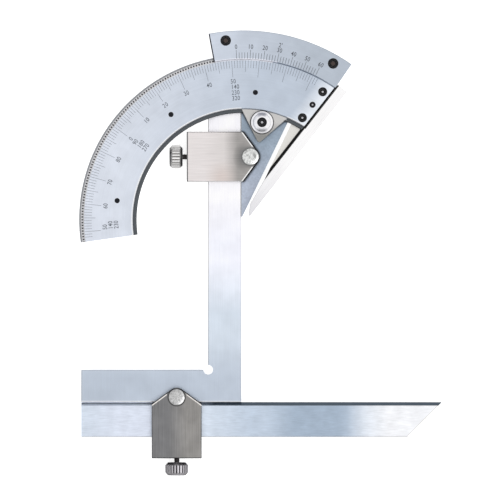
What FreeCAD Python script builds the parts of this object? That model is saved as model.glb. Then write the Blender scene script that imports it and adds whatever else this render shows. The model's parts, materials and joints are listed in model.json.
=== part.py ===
import FreeCAD, Part
import math
import os

# Bevel protractor lying on its back, measuring faces square to the rest plane.
# Everything is drawn about the centre of the scale's arc and moved at the end,
# so that the origin is the middle of the bounding box on the rest plane.
# Sizes are millimetres and degrees. Angles run anticlockwise from +X.

# Running clearances
slide_gap = 0.05
turn_gap = 0.05
arc_gap = 0.06
open_gap = 0.1

# Thicknesses, from the rest plane up to the face of the dial
clamp_wall = 3.0
plate_thickness = 4.0
flange_thickness = 1.0
ring_thickness = 2.5
dial_thickness = 1.6
lock_thickness = 1.35
edge_break = 0.3

# Scale arc, from the inner lip outwards
arc_left_deg = 188.0
blade_deg = 52.0
ring_inner_r = 44.45
lip_width = 1.65
dial_width = 20.45
rim_width = 1.85
teeth_per_turn = 360
tooth_band = 1.0
tooth_pitch_inset = 1.385
first_tooth_deg = 57.0
dial_pin_r = 1.1
dial_pin_inset = 7.0
dial_pin_degs = (171.4, 124.6, 84.7)

# Base blade, measured along the blade and across it from the arc's centre
blade_face_offset = 1.1
blade_width = 4.5
blade_taper_start = 18.0
blade_taper_end = 6.8
blade_taper_width = 3.0
blade_tip = 2.8
blade_tip_width = 0.7
blade_slot = 0.7
groove_width = 1.2
groove_depth = 2.2
dial_screw_offset = 3.45
dial_screw_inset = 9.15
dial_screw_spacing = 13.7
dial_screw_head_r = 1.85
dial_screw_shank_r = 1.0
dowel_r = 1.3

# Sector plate
sector_left_x = -0.9
sector_slant_deg = 64.3
sector_slant_offset = 1.05
sector_tip_y = 1.25
flange_gap = 1.6
shoulder_above_stem = 5.5
sector_rim_gap = 0.8
vernier_right_deg = 55.2
vernier_left_deg = 100.7
vernier_width = 12.1
vernier_screw_inset = 3.85
vernier_screw_inset_deg = 5.0
vernier_screw_head_r = 2.15
vernier_screw_shank_r = 1.1
screw_head_height = 1.1
screw_tip_cover = 1.2
hex_flats = 2.0
hex_depth = 0.8

# Lock plate and brake
lock_right_deg = 66.7
lock_left_deg = 91.1
lock_tip_x = 6.2
lock_tip_y = 31.6
lock_tip_round = 1.0
guide_inset = 0.5
guide_root = 1.0
stud_inset = 3.3
stud_deg = 79.3
stud_r = 2.0
washer_r = 4.3
washer_thickness = 0.5
nut_r = 4.8
nut_boss_r = 3.75
nut_height = 2.1
nut_boss_height = 0.5
lock_stud_r = 0.8
lock_stud_reach = 3.3

# Fine adjustment
pinion_teeth = 18
pinion_deg = 78.0
tooth_backlash = 0.06
mesh_gap = 0.05
pressure_deg = 20.0
shaft_r = 1.5
bush_r = 2.6
adjust_knob_r = 6.0
adjust_knob_flutes = 24
knob_screw_head_r = 1.6
knob_screw_shank_r = 0.8
knob_screw_head_back = 1.2
knob_screw_length = 2.6
knob_screw_slot_width = 0.55
knob_screw_slot_depth = 0.5

# Square and rule
stem_width = 13.8
arm_width = 13.45
stem_top_y = 46.5
arm_left_x = -67.5
arm_bottom_y = -75.8
corner_relief_r = 2.0
rule_length = 150.0
rule_width = 14.4
rule_left_x = -67.5
rule_bevel = 1.5
rule_end_deg = 45.0

# Clamps
clamp_width = 20.7
clamp_end_wall = 2.5
clamp_shoulder_back = 2.75
clamp_nose_r = 3.9
screw_room = 3.1
shoe_thickness = 3.2
shoe_width = 16.0
upper_pin_inset = 3.75
clamp_arc_gap = 0.943
lower_pin_x = -27.8
lower_pin_inset = 2.1
clamp_pin_r = 1.25
clamp_pin_head_r = 3.6
clamp_pin_head_height = 1.1
thumb_screw_r = 1.0
thumb_tip_depth = 1.6
thumb_knob_r = 4.85
thumb_knob_length = 5.4
thumb_knob_gap = 1.8
thumb_knob_flutes = 24
thumb_knob_bevel = 1.2

# Levels above the rest plane
plate_back = clamp_wall + slide_gap
plate_front = plate_back + plate_thickness
plate_middle = plate_back + plate_thickness / 2
ring_back = plate_front + slide_gap
tooth_back = ring_back + flange_thickness
ring_front = ring_back + ring_thickness
dial_front = ring_front + dial_thickness
shoulder_front = ring_front + slide_gap
lock_front = shoulder_front + lock_thickness
washer_front = lock_front + washer_thickness
nut_back = washer_front + turn_gap
nut_front = nut_back + nut_height
clamp_front = plate_front + slide_gap + clamp_wall

# Radii of the scale and the vernier, from the lip outwards
dial_inner_r = ring_inner_r + lip_width
dial_outer_r = dial_inner_r + dial_width
flange_r = dial_outer_r + rim_width
vernier_outer_r = dial_outer_r + vernier_width
vernier_screw_r = vernier_outer_r - vernier_screw_inset
dial_pin_circle_r = dial_inner_r + dial_pin_inset
dial_screw_middle = dial_inner_r + dial_screw_inset
stud_circle_r = ring_inner_r - stud_inset
blade_top = flange_r - open_gap
shoulder_y = stem_top_y + shoulder_above_stem

# Gear proportions, shared by the rim teeth and the pinion
tooth_pitch_r = flange_r - tooth_pitch_inset
tooth_pitch_deg = 360.0 / teeth_per_turn
gear_module = 2 * tooth_pitch_r / teeth_per_turn
tooth_tip_r = tooth_pitch_r + gear_module
tooth_root_r = tooth_pitch_r - 1.25 * gear_module
tooth_half = (math.pi * gear_module / 2 - tooth_backlash) / 2
pinion_pitch_r = pinion_teeth * gear_module / 2
pinion_tip_r = pinion_pitch_r + gear_module
pinion_root_r = pinion_pitch_r - 1.25 * gear_module
pinion_circle_r = tooth_pitch_r + pinion_pitch_r + mesh_gap

# Places that several pieces share
blade_inner = blade_face_offset - blade_width
dial_end = blade_inner - blade_slot
stem_right_x = sector_left_x - slide_gap
stem_left_x = stem_right_x - stem_width
arm_top_y = arm_bottom_y + arm_width
rule_top_y = arm_bottom_y - slide_gap
rule_bottom_y = rule_top_y - rule_width
upper_pin_x = sector_left_x + upper_pin_inset
lower_pin_y = arm_bottom_y + lower_pin_inset
upper_held = upper_pin_x - stem_left_x
lower_held = lower_pin_y - rule_bottom_y
clamp_behind = slide_gap + shoe_thickness + screw_room + clamp_end_wall
upper_clamp_left_x = stem_left_x - clamp_behind
upper_clamp_top_y = math.sqrt((ring_inner_r - clamp_arc_gap) ** 2 - upper_clamp_left_x ** 2)
upper_pin_y = upper_clamp_top_y - clamp_width / 2
thumb_reach = thumb_knob_gap + thumb_knob_length

# The origin: middle of the outer box, seen from the front
box_left = -flange_r
box_right = rule_left_x + rule_length
box_bottom = lower_pin_y - lower_held - clamp_behind - thumb_reach
box_top = vernier_outer_r
to_origin = FreeCAD.Vector(-(box_left + box_right) / 2, -(box_bottom + box_top) / 2, 0)

up = FreeCAD.Vector(0, 0, 1)
centre = FreeCAD.Vector(0, 0, 0)


# Drawing helpers
def at(x, y, z=0.0):
    """A point in the arc's frame."""
    return FreeCAD.Vector(x, y, z)


def polar(radius, degrees, z=0.0):
    """A point given by its distance and direction from the arc's centre."""
    angle = math.radians(degrees)
    return at(radius * math.cos(angle), radius * math.sin(angle), z)


def on_blade(along, across, z=0.0):
    """A point given along the base blade and across it towards the measuring side."""
    angle = math.radians(blade_deg)
    return at(
        along * math.cos(angle) + across * math.sin(angle),
        along * math.sin(angle) - across * math.cos(angle),
        z,
    )


def lift(points, z):
    """The same points at another level."""
    return [at(point.x, point.y, z) for point in points]


def prism(points, low, high):
    """A flat outline of straight edges, drawn up from one level to another."""
    outline = lift(points, low)
    outline.append(outline[0])
    return Part.Face(Part.makePolygon(outline)).extrude(up * (high - low))


def disc(radius, point, low, high):
    """A round bar along Z."""
    return Part.makeCylinder(radius, high - low, at(point.x, point.y, low), up)


def arc_edge(radius, start, end, z):
    """An arc about the arc's centre, from one direction to another."""
    middle = polar(radius, (start + end) / 2, z)
    return Part.Arc(polar(radius, start, z), middle, polar(radius, end, z)).toShape()


def line_edge(start, end):
    """A straight edge."""
    return Part.LineSegment(start, end).toShape()


def turned(section, start=0.0, sweep=360.0):
    """A section of (radius, level) points turned about the arc's centre."""
    points = [at(radius, 0, level) for radius, level in section]
    points.append(points[0])
    face = Part.Face(Part.makePolygon(points))
    face.rotate(centre, up, start)
    return face.revolve(centre, up, sweep)


def turned_at(section, point):
    """A full turned piece standing on another axis along Z."""
    piece = turned(section)
    piece.translate(at(point.x, point.y))
    return piece


def broken(shape, level, size=edge_break):
    """The edges that lie flat at one level, taken off at 45 degrees."""
    edges = [
        edge
        for edge in shape.Edges
        if abs(edge.BoundBox.ZMin - level) < 1e-6 and abs(edge.BoundBox.ZMax - level) < 1e-6
    ]
    return shape.makeChamfer(size, edges)


def hexagon(flats, point, low, high):
    """The hollow of a hexagon socket."""
    corner_r = flats / math.sqrt(3)
    return prism([point + polar(corner_r, 60.0 * i) for i in range(6)], low, high)


def joined(pieces):
    """Several touching solids as one, with the seams between flat faces removed."""
    return pieces[0].fuse(pieces[1:]).removeSplitter()


def faceted(section, count):
    """A section of (radius, level) points carried round in flat facets."""
    rings = [[polar(radius, 360.0 * i / count, level) for i in range(count)] for radius, level in section]
    faces = [Part.Face(Part.makePolygon(ring + ring[:1])) for ring in (rings[0], rings[-1])]
    for near, far in zip(rings, rings[1:]):
        for i in range(count):
            corners = [near[i - 1], near[i], far[i], far[i - 1], near[i - 1]]
            faces.append(Part.Face(Part.makePolygon(corners)))
    return Part.makeSolid(Part.makeShell(faces))


def fluted(radius, length, count, bevel):
    """A knob with a flute at each corner, along +Z from its inner face, with beveled ends."""
    section = [(radius - bevel, 0), (radius, bevel), (radius, length - bevel), (radius - bevel, length)]
    half_step = 180.0 / count
    flute_depth = radius * math.radians(half_step)
    flutes = []
    for i in range(count):
        angle = 2 * half_step * i
        corners = [
            polar(radius - flute_depth, angle),
            polar(radius + flute_depth, angle - half_step),
            polar(radius + flute_depth, angle + half_step),
        ]
        flutes.append(prism(corners, -1, length + 1))
    return faceted(section, count).cut(Part.makeCompound(flutes))


def socket_screw(head_r, shank_r, point, head_top, tip):
    """A cheese-head screw with a hexagon socket."""
    head_back = head_top - screw_head_height
    section = [
        (0, tip),
        (shank_r, tip),
        (shank_r, head_back),
        (head_r, head_back),
        (head_r, head_top),
        (0, head_top),
    ]
    return turned_at(section, point).cut(hexagon(hex_flats, point, head_top - hex_depth, head_top + 1))


def screw_hole(head_r, shank_r, point, head_top, tip):
    """The counterbored hole that such a screw fills, open above."""
    head_back = head_top - screw_head_height
    bore = disc(shank_r, point, tip, head_back)
    return bore.fuse(disc(head_r + slide_gap, point, head_back, head_top + 5))


# Screw and dowel places
vernier_screw_points = [
    polar(vernier_screw_r, vernier_left_deg - vernier_screw_inset_deg),
    polar(vernier_screw_r, vernier_right_deg + vernier_screw_inset_deg),
]
dial_screw_points = [
    on_blade(dial_screw_middle + side * dial_screw_spacing / 2, blade_inner - dial_screw_offset)
    for side in (-1, 1)
]
dial_dowel_point = on_blade(dial_screw_middle, blade_inner - dial_screw_offset)
dial_pin_points = [polar(dial_pin_circle_r, degrees) for degrees in dial_pin_degs]
stud_point = polar(stud_circle_r, stud_deg)
lock_stud_points = [
    stud_point + polar(lock_stud_reach, stud_deg + side * 90.0) for side in (-1, 1)
]
pinion_point = polar(pinion_circle_r, pinion_deg)
screw_top = dial_front - open_gap
screw_tip = plate_back + screw_tip_cover


# Scale, ring and base blade
def past_dial_end(low, high):
    """The space beyond the end of the scale that faces the base blade."""
    reach = 2 * flange_r
    corners = [
        on_blade(-reach, dial_end),
        on_blade(reach, dial_end),
        on_blade(reach, reach),
        on_blade(-reach, reach),
    ]
    return prism(corners, low, high)


def scale_section(section):
    """A section swept along the arc and trimmed beside the base blade."""
    piece = turned(section, blade_deg, arc_left_deg - blade_deg)
    return piece.cut(past_dial_end(ring_back - 1, dial_front + 1))


def scale_drilled(piece, low):
    """The ring or dial with the holes for its two screws and its dowel."""
    for point in dial_screw_points:
        piece = piece.cut(screw_hole(dial_screw_head_r, dial_screw_shank_r, point, screw_top, low))
    return piece.cut(disc(dowel_r, dial_dowel_point, low, dial_front + 1))


def rim_teeth():
    """The toothed band on the rim, above the smooth flange."""
    band_inner_r = tooth_root_r - tooth_band
    flank = math.tan(math.radians(pressure_deg))
    half_tip = math.degrees((tooth_half - gear_module * flank) / tooth_tip_r)
    half_root = math.degrees((tooth_half + 1.25 * gear_module * flank) / tooth_root_r)
    right_count = int((pinion_deg - first_tooth_deg) / tooth_pitch_deg)
    left_count = int((arc_left_deg - pinion_deg) / tooth_pitch_deg)
    outline = []
    for i in range(-right_count, left_count):
        middle = pinion_deg + (i + 0.5) * tooth_pitch_deg
        outline.append(polar(tooth_root_r, middle - half_root, tooth_back))
        outline.append(polar(tooth_tip_r, middle - half_tip, tooth_back))
        outline.append(polar(tooth_tip_r, middle + half_tip, tooth_back))
        outline.append(polar(tooth_root_r, middle + half_root, tooth_back))
    first_deg = pinion_deg - (right_count - 0.5) * tooth_pitch_deg - half_root
    last_deg = pinion_deg + (left_count - 0.5) * tooth_pitch_deg + half_root
    edges = [line_edge(outline[i], outline[i + 1]) for i in range(len(outline) - 1)]
    edges.append(line_edge(outline[-1], polar(band_inner_r, last_deg, tooth_back)))
    edges.append(arc_edge(band_inner_r, last_deg, first_deg, tooth_back))
    edges.append(line_edge(polar(band_inner_r, first_deg, tooth_back), outline[0]))
    return Part.Face(Part.Wire(edges)).extrude(up * (ring_front - tooth_back))


def make_gear_ring():
    """Rear ring: inner lip, toothed rim and smooth outer flange."""
    section = [
        (ring_inner_r, ring_back),
        (flange_r, ring_back),
        (flange_r, tooth_back),
        (tooth_root_r - tooth_band, tooth_back),
        (tooth_root_r - tooth_band, ring_front),
        (ring_inner_r + edge_break, ring_front),
        (ring_inner_r, ring_front - edge_break),
    ]
    ring = joined([scale_section(section), rim_teeth()])
    return scale_drilled(ring, ring_back - 1)


def make_dial_plate():
    """Main scale plate, on the front of the ring."""
    section = [
        (dial_inner_r, ring_front),
        (dial_outer_r, ring_front),
        (dial_outer_r, dial_front - edge_break),
        (dial_outer_r - edge_break, dial_front),
        (dial_inner_r + edge_break, dial_front),
        (dial_inner_r, dial_front - edge_break),
    ]
    plate = scale_drilled(scale_section(section), ring_front - 1)
    for point in dial_pin_points:
        plate = plate.cut(disc(dial_pin_r, point, ring_front - 1, dial_front + 1))
    return plate


def make_base_blade():
    """Measuring bar with the flange that the end of the scale is screwed to."""
    taper_inner = blade_face_offset - blade_taper_width
    tip_inner = blade_face_offset - blade_tip_width
    outline = [
        on_blade(blade_tip, blade_face_offset),
        on_blade(blade_top, blade_face_offset),
        on_blade(blade_top, blade_inner),
        on_blade(blade_taper_start, blade_inner),
        on_blade(blade_taper_end, taper_inner),
        on_blade(blade_tip, tip_inner),
    ]
    bar = broken(prism(outline, plate_back, dial_front), dial_front, edge_break / 2)
    reach = 2 * flange_r
    slant = math.radians(sector_slant_deg)
    along = at(math.cos(slant), math.sin(slant))
    across = at(math.sin(slant), -math.cos(slant))
    flange_line = across * (flange_gap - sector_slant_offset)
    keep = prism(
        [flange_line - along * reach, flange_line + across * reach, flange_line + along * reach],
        plate_back,
        ring_back,
    )
    room = prism(
        [
            on_blade(0, blade_inner),
            on_blade(reach, blade_inner),
            on_blade(reach, -reach),
            on_blade(0, -reach),
        ],
        plate_back,
        ring_back,
    )
    flange = disc(flange_r - open_gap, centre, plate_back, ring_back).common(keep).common(room)
    groove = prism(
        [
            on_blade(0, blade_inner),
            on_blade(reach, blade_inner),
            on_blade(reach, blade_inner - groove_width),
            on_blade(0, blade_inner - groove_width),
        ],
        ring_back - groove_depth,
        dial_front,
    )
    blade = joined([bar, flange.cut(groove)])
    for point in dial_screw_points:
        blade = blade.cut(disc(dial_screw_shank_r, point, screw_tip, ring_back + 1))
    return blade.cut(disc(dowel_r, dial_dowel_point, screw_tip, ring_back + 1))


def make_dial_pins():
    """Three pins that hold the scale plate on the ring."""
    return Part.makeCompound([disc(dial_pin_r, point, ring_front, dial_front) for point in dial_pin_points])


def make_blade_screws():
    """Two screws through the scale and its ring into the blade's flange."""
    return Part.makeCompound(
        [
            socket_screw(dial_screw_head_r, dial_screw_shank_r, point, screw_top, screw_tip)
            for point in dial_screw_points
        ]
    )


def make_blade_dowel():
    """The dowel between the two screws."""
    return disc(dowel_r, dial_dowel_point, screw_tip, dial_front)


# Sector plate and what is fixed on it
def lock_corners(inset, outer_r):
    """Three corners of the lock plate or of the guide under it."""
    inset_deg = math.degrees(inset / outer_r)
    return [
        polar(outer_r, lock_right_deg + inset_deg),
        polar(outer_r, lock_left_deg - inset_deg),
        at(lock_tip_x, lock_tip_y + 2 * inset),
    ]


def lock_shape(inset, outer_r, low, high):
    """A triangle with an arc for its top edge and a rounded lower corner."""
    right, left, tip = lift(lock_corners(inset, outer_r), low)
    middle = polar(outer_r, (lock_right_deg + lock_left_deg) / 2, low)
    wire = Part.Wire([Part.Arc(right, middle, left).toShape(), line_edge(left, tip), line_edge(tip, right)])
    piece = Part.Face(wire).extrude(up * (high - low))
    uprights = [edge for edge in piece.Edges if edge.BoundBox.XLength + edge.BoundBox.YLength < 1e-6]
    corner = min(uprights, key=lambda edge: edge.CenterOfMass.y)
    return piece.makeFillet(lock_tip_round, [corner])


def make_sector_plate():
    """The plate that carries the square, the vernier, the brake and the pinion."""
    slant = math.radians(sector_slant_deg)
    tip_x = (sector_tip_y * math.cos(slant) - sector_slant_offset) / math.sin(slant)
    clear_r = flange_r + sector_rim_gap
    meet_deg = sector_slant_deg + math.degrees(math.asin(sector_slant_offset / clear_r))
    ledge_x = -shoulder_y * math.tan(math.radians(vernier_left_deg - 90))
    z = plate_back
    edges = [
        line_edge(at(sector_left_x, sector_tip_y, z), at(tip_x, sector_tip_y, z)),
        line_edge(at(tip_x, sector_tip_y, z), polar(clear_r, meet_deg, z)),
        arc_edge(clear_r, meet_deg, vernier_right_deg, z),
        line_edge(polar(clear_r, vernier_right_deg, z), polar(vernier_outer_r, vernier_right_deg, z)),
        arc_edge(vernier_outer_r, vernier_right_deg, vernier_left_deg, z),
        line_edge(polar(vernier_outer_r, vernier_left_deg, z), at(ledge_x, shoulder_y, z)),
        line_edge(at(ledge_x, shoulder_y, z), at(sector_left_x, shoulder_y, z)),
        line_edge(at(sector_left_x, shoulder_y, z), at(sector_left_x, sector_tip_y, z)),
    ]
    plate = Part.Face(Part.Wire(edges)).extrude(up * plate_thickness)
    shoulder_section = [
        (flange_r + arc_gap, plate_front - guide_root),
        (vernier_outer_r, plate_front - guide_root),
        (vernier_outer_r, shoulder_front),
        (flange_r + arc_gap, shoulder_front),
    ]
    shoulder = turned(shoulder_section, vernier_right_deg, vernier_left_deg - vernier_right_deg)
    guide = lock_shape(guide_inset, ring_inner_r - arc_gap, plate_front - guide_root, shoulder_front)
    studs = [disc(lock_stud_r, point, plate_front, lock_front - edge_break) for point in lock_stud_points]
    plate = joined([plate, shoulder, guide] + studs)
    plate = plate.cut(disc(pinion_tip_r + 2 * open_gap, pinion_point, plate_front, shoulder_front + 1))
    plate = plate.cut(disc(bush_r, pinion_point, plate_back - 1, plate_front + 1))
    plate = plate.cut(disc(stud_r, stud_point, plate_back - 1, shoulder_front + 1))
    for point in vernier_screw_points:
        plate = plate.cut(disc(vernier_screw_shank_r, point, screw_tip, shoulder_front + 1))
    pin_place = at(upper_pin_x, upper_pin_y)
    return plate.cut(disc(clamp_pin_r + turn_gap, pin_place, plate_back - 1, plate_front + 1))


def make_vernier_plate():
    """Vernier plate over the rim, flush with the face of the dial."""
    section = [
        (dial_outer_r + open_gap, shoulder_front),
        (vernier_outer_r, shoulder_front),
        (vernier_outer_r, dial_front - edge_break),
        (vernier_outer_r - edge_break, dial_front),
        (dial_outer_r + open_gap + edge_break, dial_front),
        (dial_outer_r + open_gap, dial_front - edge_break),
    ]
    plate = turned(section, vernier_right_deg, vernier_left_deg - vernier_right_deg)
    for point in vernier_screw_points:
        plate = plate.cut(
            screw_hole(vernier_screw_head_r, vernier_screw_shank_r, point, screw_top, shoulder_front - 1)
        )
    return plate


def make_vernier_screws():
    """Two screws that hold the vernier plate on the sector plate."""
    return Part.makeCompound(
        [
            socket_screw(vernier_screw_head_r, vernier_screw_shank_r, point, screw_top, screw_tip)
            for point in vernier_screw_points
        ]
    )


def make_lock_plate():
    """Clamping plate over the inner lip of the ring."""
    plate = lock_shape(0.0, dial_inner_r - open_gap, shoulder_front, lock_front)
    plate = broken(plate, lock_front, edge_break / 2)
    plate = plate.cut(disc(stud_r + turn_gap, stud_point, shoulder_front - 1, lock_front + 1))
    for point in lock_stud_points:
        plate = plate.cut(disc(lock_stud_r, point, shoulder_front - 1, lock_front - edge_break))
    return plate


def make_brake_stud():
    """Stud fixed in the sector plate, with a hexagon socket in its end."""
    stud_top = nut_front - open_gap
    section = [
        (0, plate_back),
        (stud_r, plate_back),
        (stud_r, stud_top),
        (0, stud_top),
    ]
    socket = hexagon(hex_flats, stud_point, stud_top - 2 * hex_depth, stud_top + 1)
    return turned_at(section, stud_point).cut(socket)


def make_brake_washer():
    """Washer between the lock plate and the nut."""
    ring = disc(washer_r, stud_point, lock_front, washer_front)
    return ring.cut(disc(stud_r + turn_gap, stud_point, lock_front - 1, washer_front + 1))


def make_brake_nut():
    """Round stepped nut that clamps the ring."""
    boss_back = nut_front - nut_boss_height
    section = [
        (stud_r + turn_gap, nut_back),
        (nut_r, nut_back),
        (nut_r, boss_back - edge_break),
        (nut_r - edge_break, boss_back),
        (nut_boss_r, boss_back),
        (nut_boss_r, nut_front - edge_break),
        (nut_boss_r - edge_break, nut_front),
        (stud_r + turn_gap, nut_front),
    ]
    return turned_at(section, stud_point)


# Fine adjustment
def involute_angle(radius, base_r):
    """How far an involute has turned at a radius, in radians."""
    roll = math.sqrt(max(0.0, (radius / base_r) ** 2 - 1))
    return roll - math.atan(roll)


def make_pinion_shaft():
    """Pinion in mesh with the rim teeth, with its collar and shaft in one piece."""
    base_r = pinion_pitch_r * math.cos(math.radians(pressure_deg))
    pitch_angle = involute_angle(pinion_pitch_r, base_r)
    half_pitch = tooth_half / pinion_pitch_r + pitch_angle
    half_root = math.degrees(half_pitch)
    half_tip = math.degrees(half_pitch - involute_angle(pinion_tip_r, base_r))
    corners = []
    for i in range(pinion_teeth):
        middle = pinion_deg + 180 + 360.0 * i / pinion_teeth
        corners.append(polar(pinion_root_r, middle - half_root))
        corners.append(polar(pinion_tip_r, middle - half_tip))
        corners.append(polar(pinion_tip_r, middle + half_tip))
        corners.append(polar(pinion_root_r, middle + half_root))
    corners = [corner + pinion_point for corner in corners]
    gear = prism(corners, tooth_back + slide_gap, ring_front - slide_gap)
    collar_r = pinion_circle_r - flange_r - 1.5 * open_gap
    section = [
        (0, knob_screw_head_back),
        (shaft_r, knob_screw_head_back),
        (shaft_r, ring_back),
        (collar_r, ring_back),
        (collar_r, tooth_back + 2 * slide_gap),
        (0, tooth_back + 2 * slide_gap),
    ]
    shaft = joined([turned_at(section, pinion_point), gear])
    hole_top = knob_screw_head_back + knob_screw_length
    return shaft.cut(disc(knob_screw_shank_r, pinion_point, knob_screw_head_back - 1, hole_top))


def make_pinion_bush():
    """Bush in the sector plate for the pinion's shaft."""
    ring = disc(bush_r, pinion_point, plate_back, plate_front)
    return ring.cut(disc(shaft_r + turn_gap, pinion_point, plate_back - 1, plate_front + 1))


def make_adjusting_knob():
    """Knurled disc on the back that turns the pinion."""
    height = plate_back - open_gap
    knob = fluted(adjust_knob_r, height, adjust_knob_flutes, edge_break)
    knob.translate(pinion_point)
    knob = knob.cut(disc(shaft_r, pinion_point, knob_screw_head_back, height + 1))
    return knob.cut(disc(knob_screw_head_r + slide_gap, pinion_point, -1, knob_screw_head_back))


def make_knob_screw():
    """Screw that draws the knob onto the shaft."""
    section = [
        (0, open_gap),
        (knob_screw_head_r, open_gap),
        (knob_screw_head_r, knob_screw_head_back),
        (knob_screw_shank_r, knob_screw_head_back),
        (knob_screw_shank_r, knob_screw_head_back + knob_screw_length),
        (0, knob_screw_head_back + knob_screw_length),
    ]
    screw = turned_at(section, pinion_point)
    slot = Part.makeBox(
        4 * knob_screw_head_r,
        knob_screw_slot_width,
        knob_screw_slot_depth,
        pinion_point - at(2 * knob_screw_head_r, knob_screw_slot_width / 2),
    )
    return screw.cut(slot)


# Square and rule
def make_square():
    """Stem and arm at a right angle, with a relief hole in the inner corner."""
    outline = [
        at(arm_left_x, arm_bottom_y),
        at(stem_right_x, arm_bottom_y),
        at(stem_right_x, stem_top_y),
        at(stem_left_x, stem_top_y),
        at(stem_left_x, arm_top_y),
        at(arm_left_x, arm_top_y),
    ]
    square = broken(prism(outline, plate_back, plate_front), plate_front)
    corner = at(stem_left_x, arm_top_y)
    pin_place = at(lower_pin_x, lower_pin_y)
    square = square.cut(disc(corner_relief_r, corner, plate_back - 1, plate_front + 1))
    return square.cut(disc(clamp_pin_r + turn_gap, pin_place, plate_back - 1, plate_front + 1))


def make_rule():
    """Rule with a bevel along its measuring edge and one slanted end."""
    section = [
        at(rule_left_x, rule_bottom_y, plate_back),
        at(rule_left_x, rule_top_y, plate_back),
        at(rule_left_x, rule_top_y, plate_front - rule_bevel),
        at(rule_left_x, rule_top_y - rule_bevel, plate_front),
        at(rule_left_x, rule_bottom_y + edge_break, plate_front),
        at(rule_left_x, rule_bottom_y, plate_front - edge_break),
    ]
    section.append(section[0])
    rule = Part.Face(Part.makePolygon(section)).extrude(at(rule_length, 0))
    right_x = rule_left_x + rule_length
    fall = 2 * rule_width
    run = fall / math.tan(math.radians(rule_end_deg))
    corners = [
        at(right_x, rule_top_y),
        at(right_x - run, rule_top_y - fall),
        at(right_x + run, rule_top_y - fall),
    ]
    return rule.cut(prism(corners, plate_back - 1, plate_front + 1))


# Clamps, drawn with the pin at the origin and the nose towards +X
def clamp_outline(back):
    """The block's outline: square end, two shoulders, tangents to a round nose."""
    half = clamp_width / 2
    shoulder = math.hypot(clamp_shoulder_back, half)
    lean = math.atan2(half, -clamp_shoulder_back) - math.acos(clamp_nose_r / shoulder)
    touch = at(clamp_nose_r * math.cos(lean), clamp_nose_r * math.sin(lean))
    mirror = at(touch.x, -touch.y)
    corners = [
        mirror,
        at(-clamp_shoulder_back, -half),
        at(-back, -half),
        at(-back, half),
        at(-clamp_shoulder_back, half),
        touch,
    ]
    edges = [line_edge(corners[i], corners[i + 1]) for i in range(len(corners) - 1)]
    edges.append(Part.Arc(touch, at(clamp_nose_r, 0), mirror).toShape())
    return Part.Wire(edges)


def clamp_block(held):
    """U-shaped block: front wall, back wall and the end wall that takes the screw."""
    back = held + clamp_behind
    block = Part.Face(clamp_outline(back)).extrude(up * clamp_front)
    block = broken(block, clamp_front)
    channel_back = -back + clamp_end_wall
    channel = Part.makeBox(
        back + clamp_width,
        2 * clamp_width,
        plate_thickness + 2 * slide_gap,
        at(channel_back, -clamp_width, plate_back - slide_gap),
    )
    block = block.cut(channel)
    bore_r = thumb_screw_r + turn_gap
    bore = Part.makeCylinder(bore_r, 2 * clamp_end_wall, at(-back - 1, 0, plate_middle), at(1, 0))
    block = block.cut(bore)
    return block.cut(disc(clamp_pin_r, centre, -1, clamp_front + 1))


def clamp_pin():
    """Headed pin, flush at the back."""
    head_top = clamp_front + clamp_pin_head_height
    section = [
        (0, 0),
        (clamp_pin_r, 0),
        (clamp_pin_r, clamp_front),
        (clamp_pin_head_r, clamp_front),
        (clamp_pin_head_r, head_top - edge_break),
        (clamp_pin_head_r - 2 * edge_break, head_top),
        (0, head_top),
    ]
    return turned(section)


def clamp_shoe(held):
    """Pressure shoe against the edge of what the clamp holds."""
    front = -held - slide_gap
    shoe = Part.makeBox(
        shoe_thickness,
        shoe_width,
        plate_thickness,
        at(front - shoe_thickness, -shoe_width / 2, plate_back),
    )
    uprights = [edge for edge in shoe.Edges if edge.BoundBox.ZLength > plate_thickness / 2]
    shoe = shoe.makeChamfer(edge_break, uprights)
    socket_r = thumb_screw_r + turn_gap
    socket_depth = thumb_tip_depth + turn_gap
    foot = at(front - shoe_thickness, 0, plate_middle)
    return shoe.cut(Part.makeCylinder(socket_r, socket_depth, foot, at(1, 0)))


def thumb_screw(held):
    """Knurled screw: its tip sits in the shoe and its knob stands off the block."""
    tip = -held - slide_gap - shoe_thickness + thumb_tip_depth
    knob_face = -held - clamp_behind - thumb_knob_gap
    foot = at(knob_face - 1, 0, plate_middle)
    shank = Part.makeCylinder(thumb_screw_r, tip - knob_face + 1, foot, at(1, 0))
    knob = fluted(thumb_knob_r, thumb_knob_length, thumb_knob_flutes, thumb_knob_bevel)
    knob.rotate(centre, at(0, 1), -90)
    knob.translate(at(knob_face, 0, plate_middle))
    return joined([knob, shank])


def upper(piece):
    """A clamp piece put on the sector plate, nose to the right."""
    piece.translate(at(upper_pin_x, upper_pin_y))
    return piece


def lower(piece):
    """A clamp piece put on the square's arm, nose up."""
    piece.rotate(centre, up, 90)
    piece.translate(at(lower_pin_x, lower_pin_y))
    return piece


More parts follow.
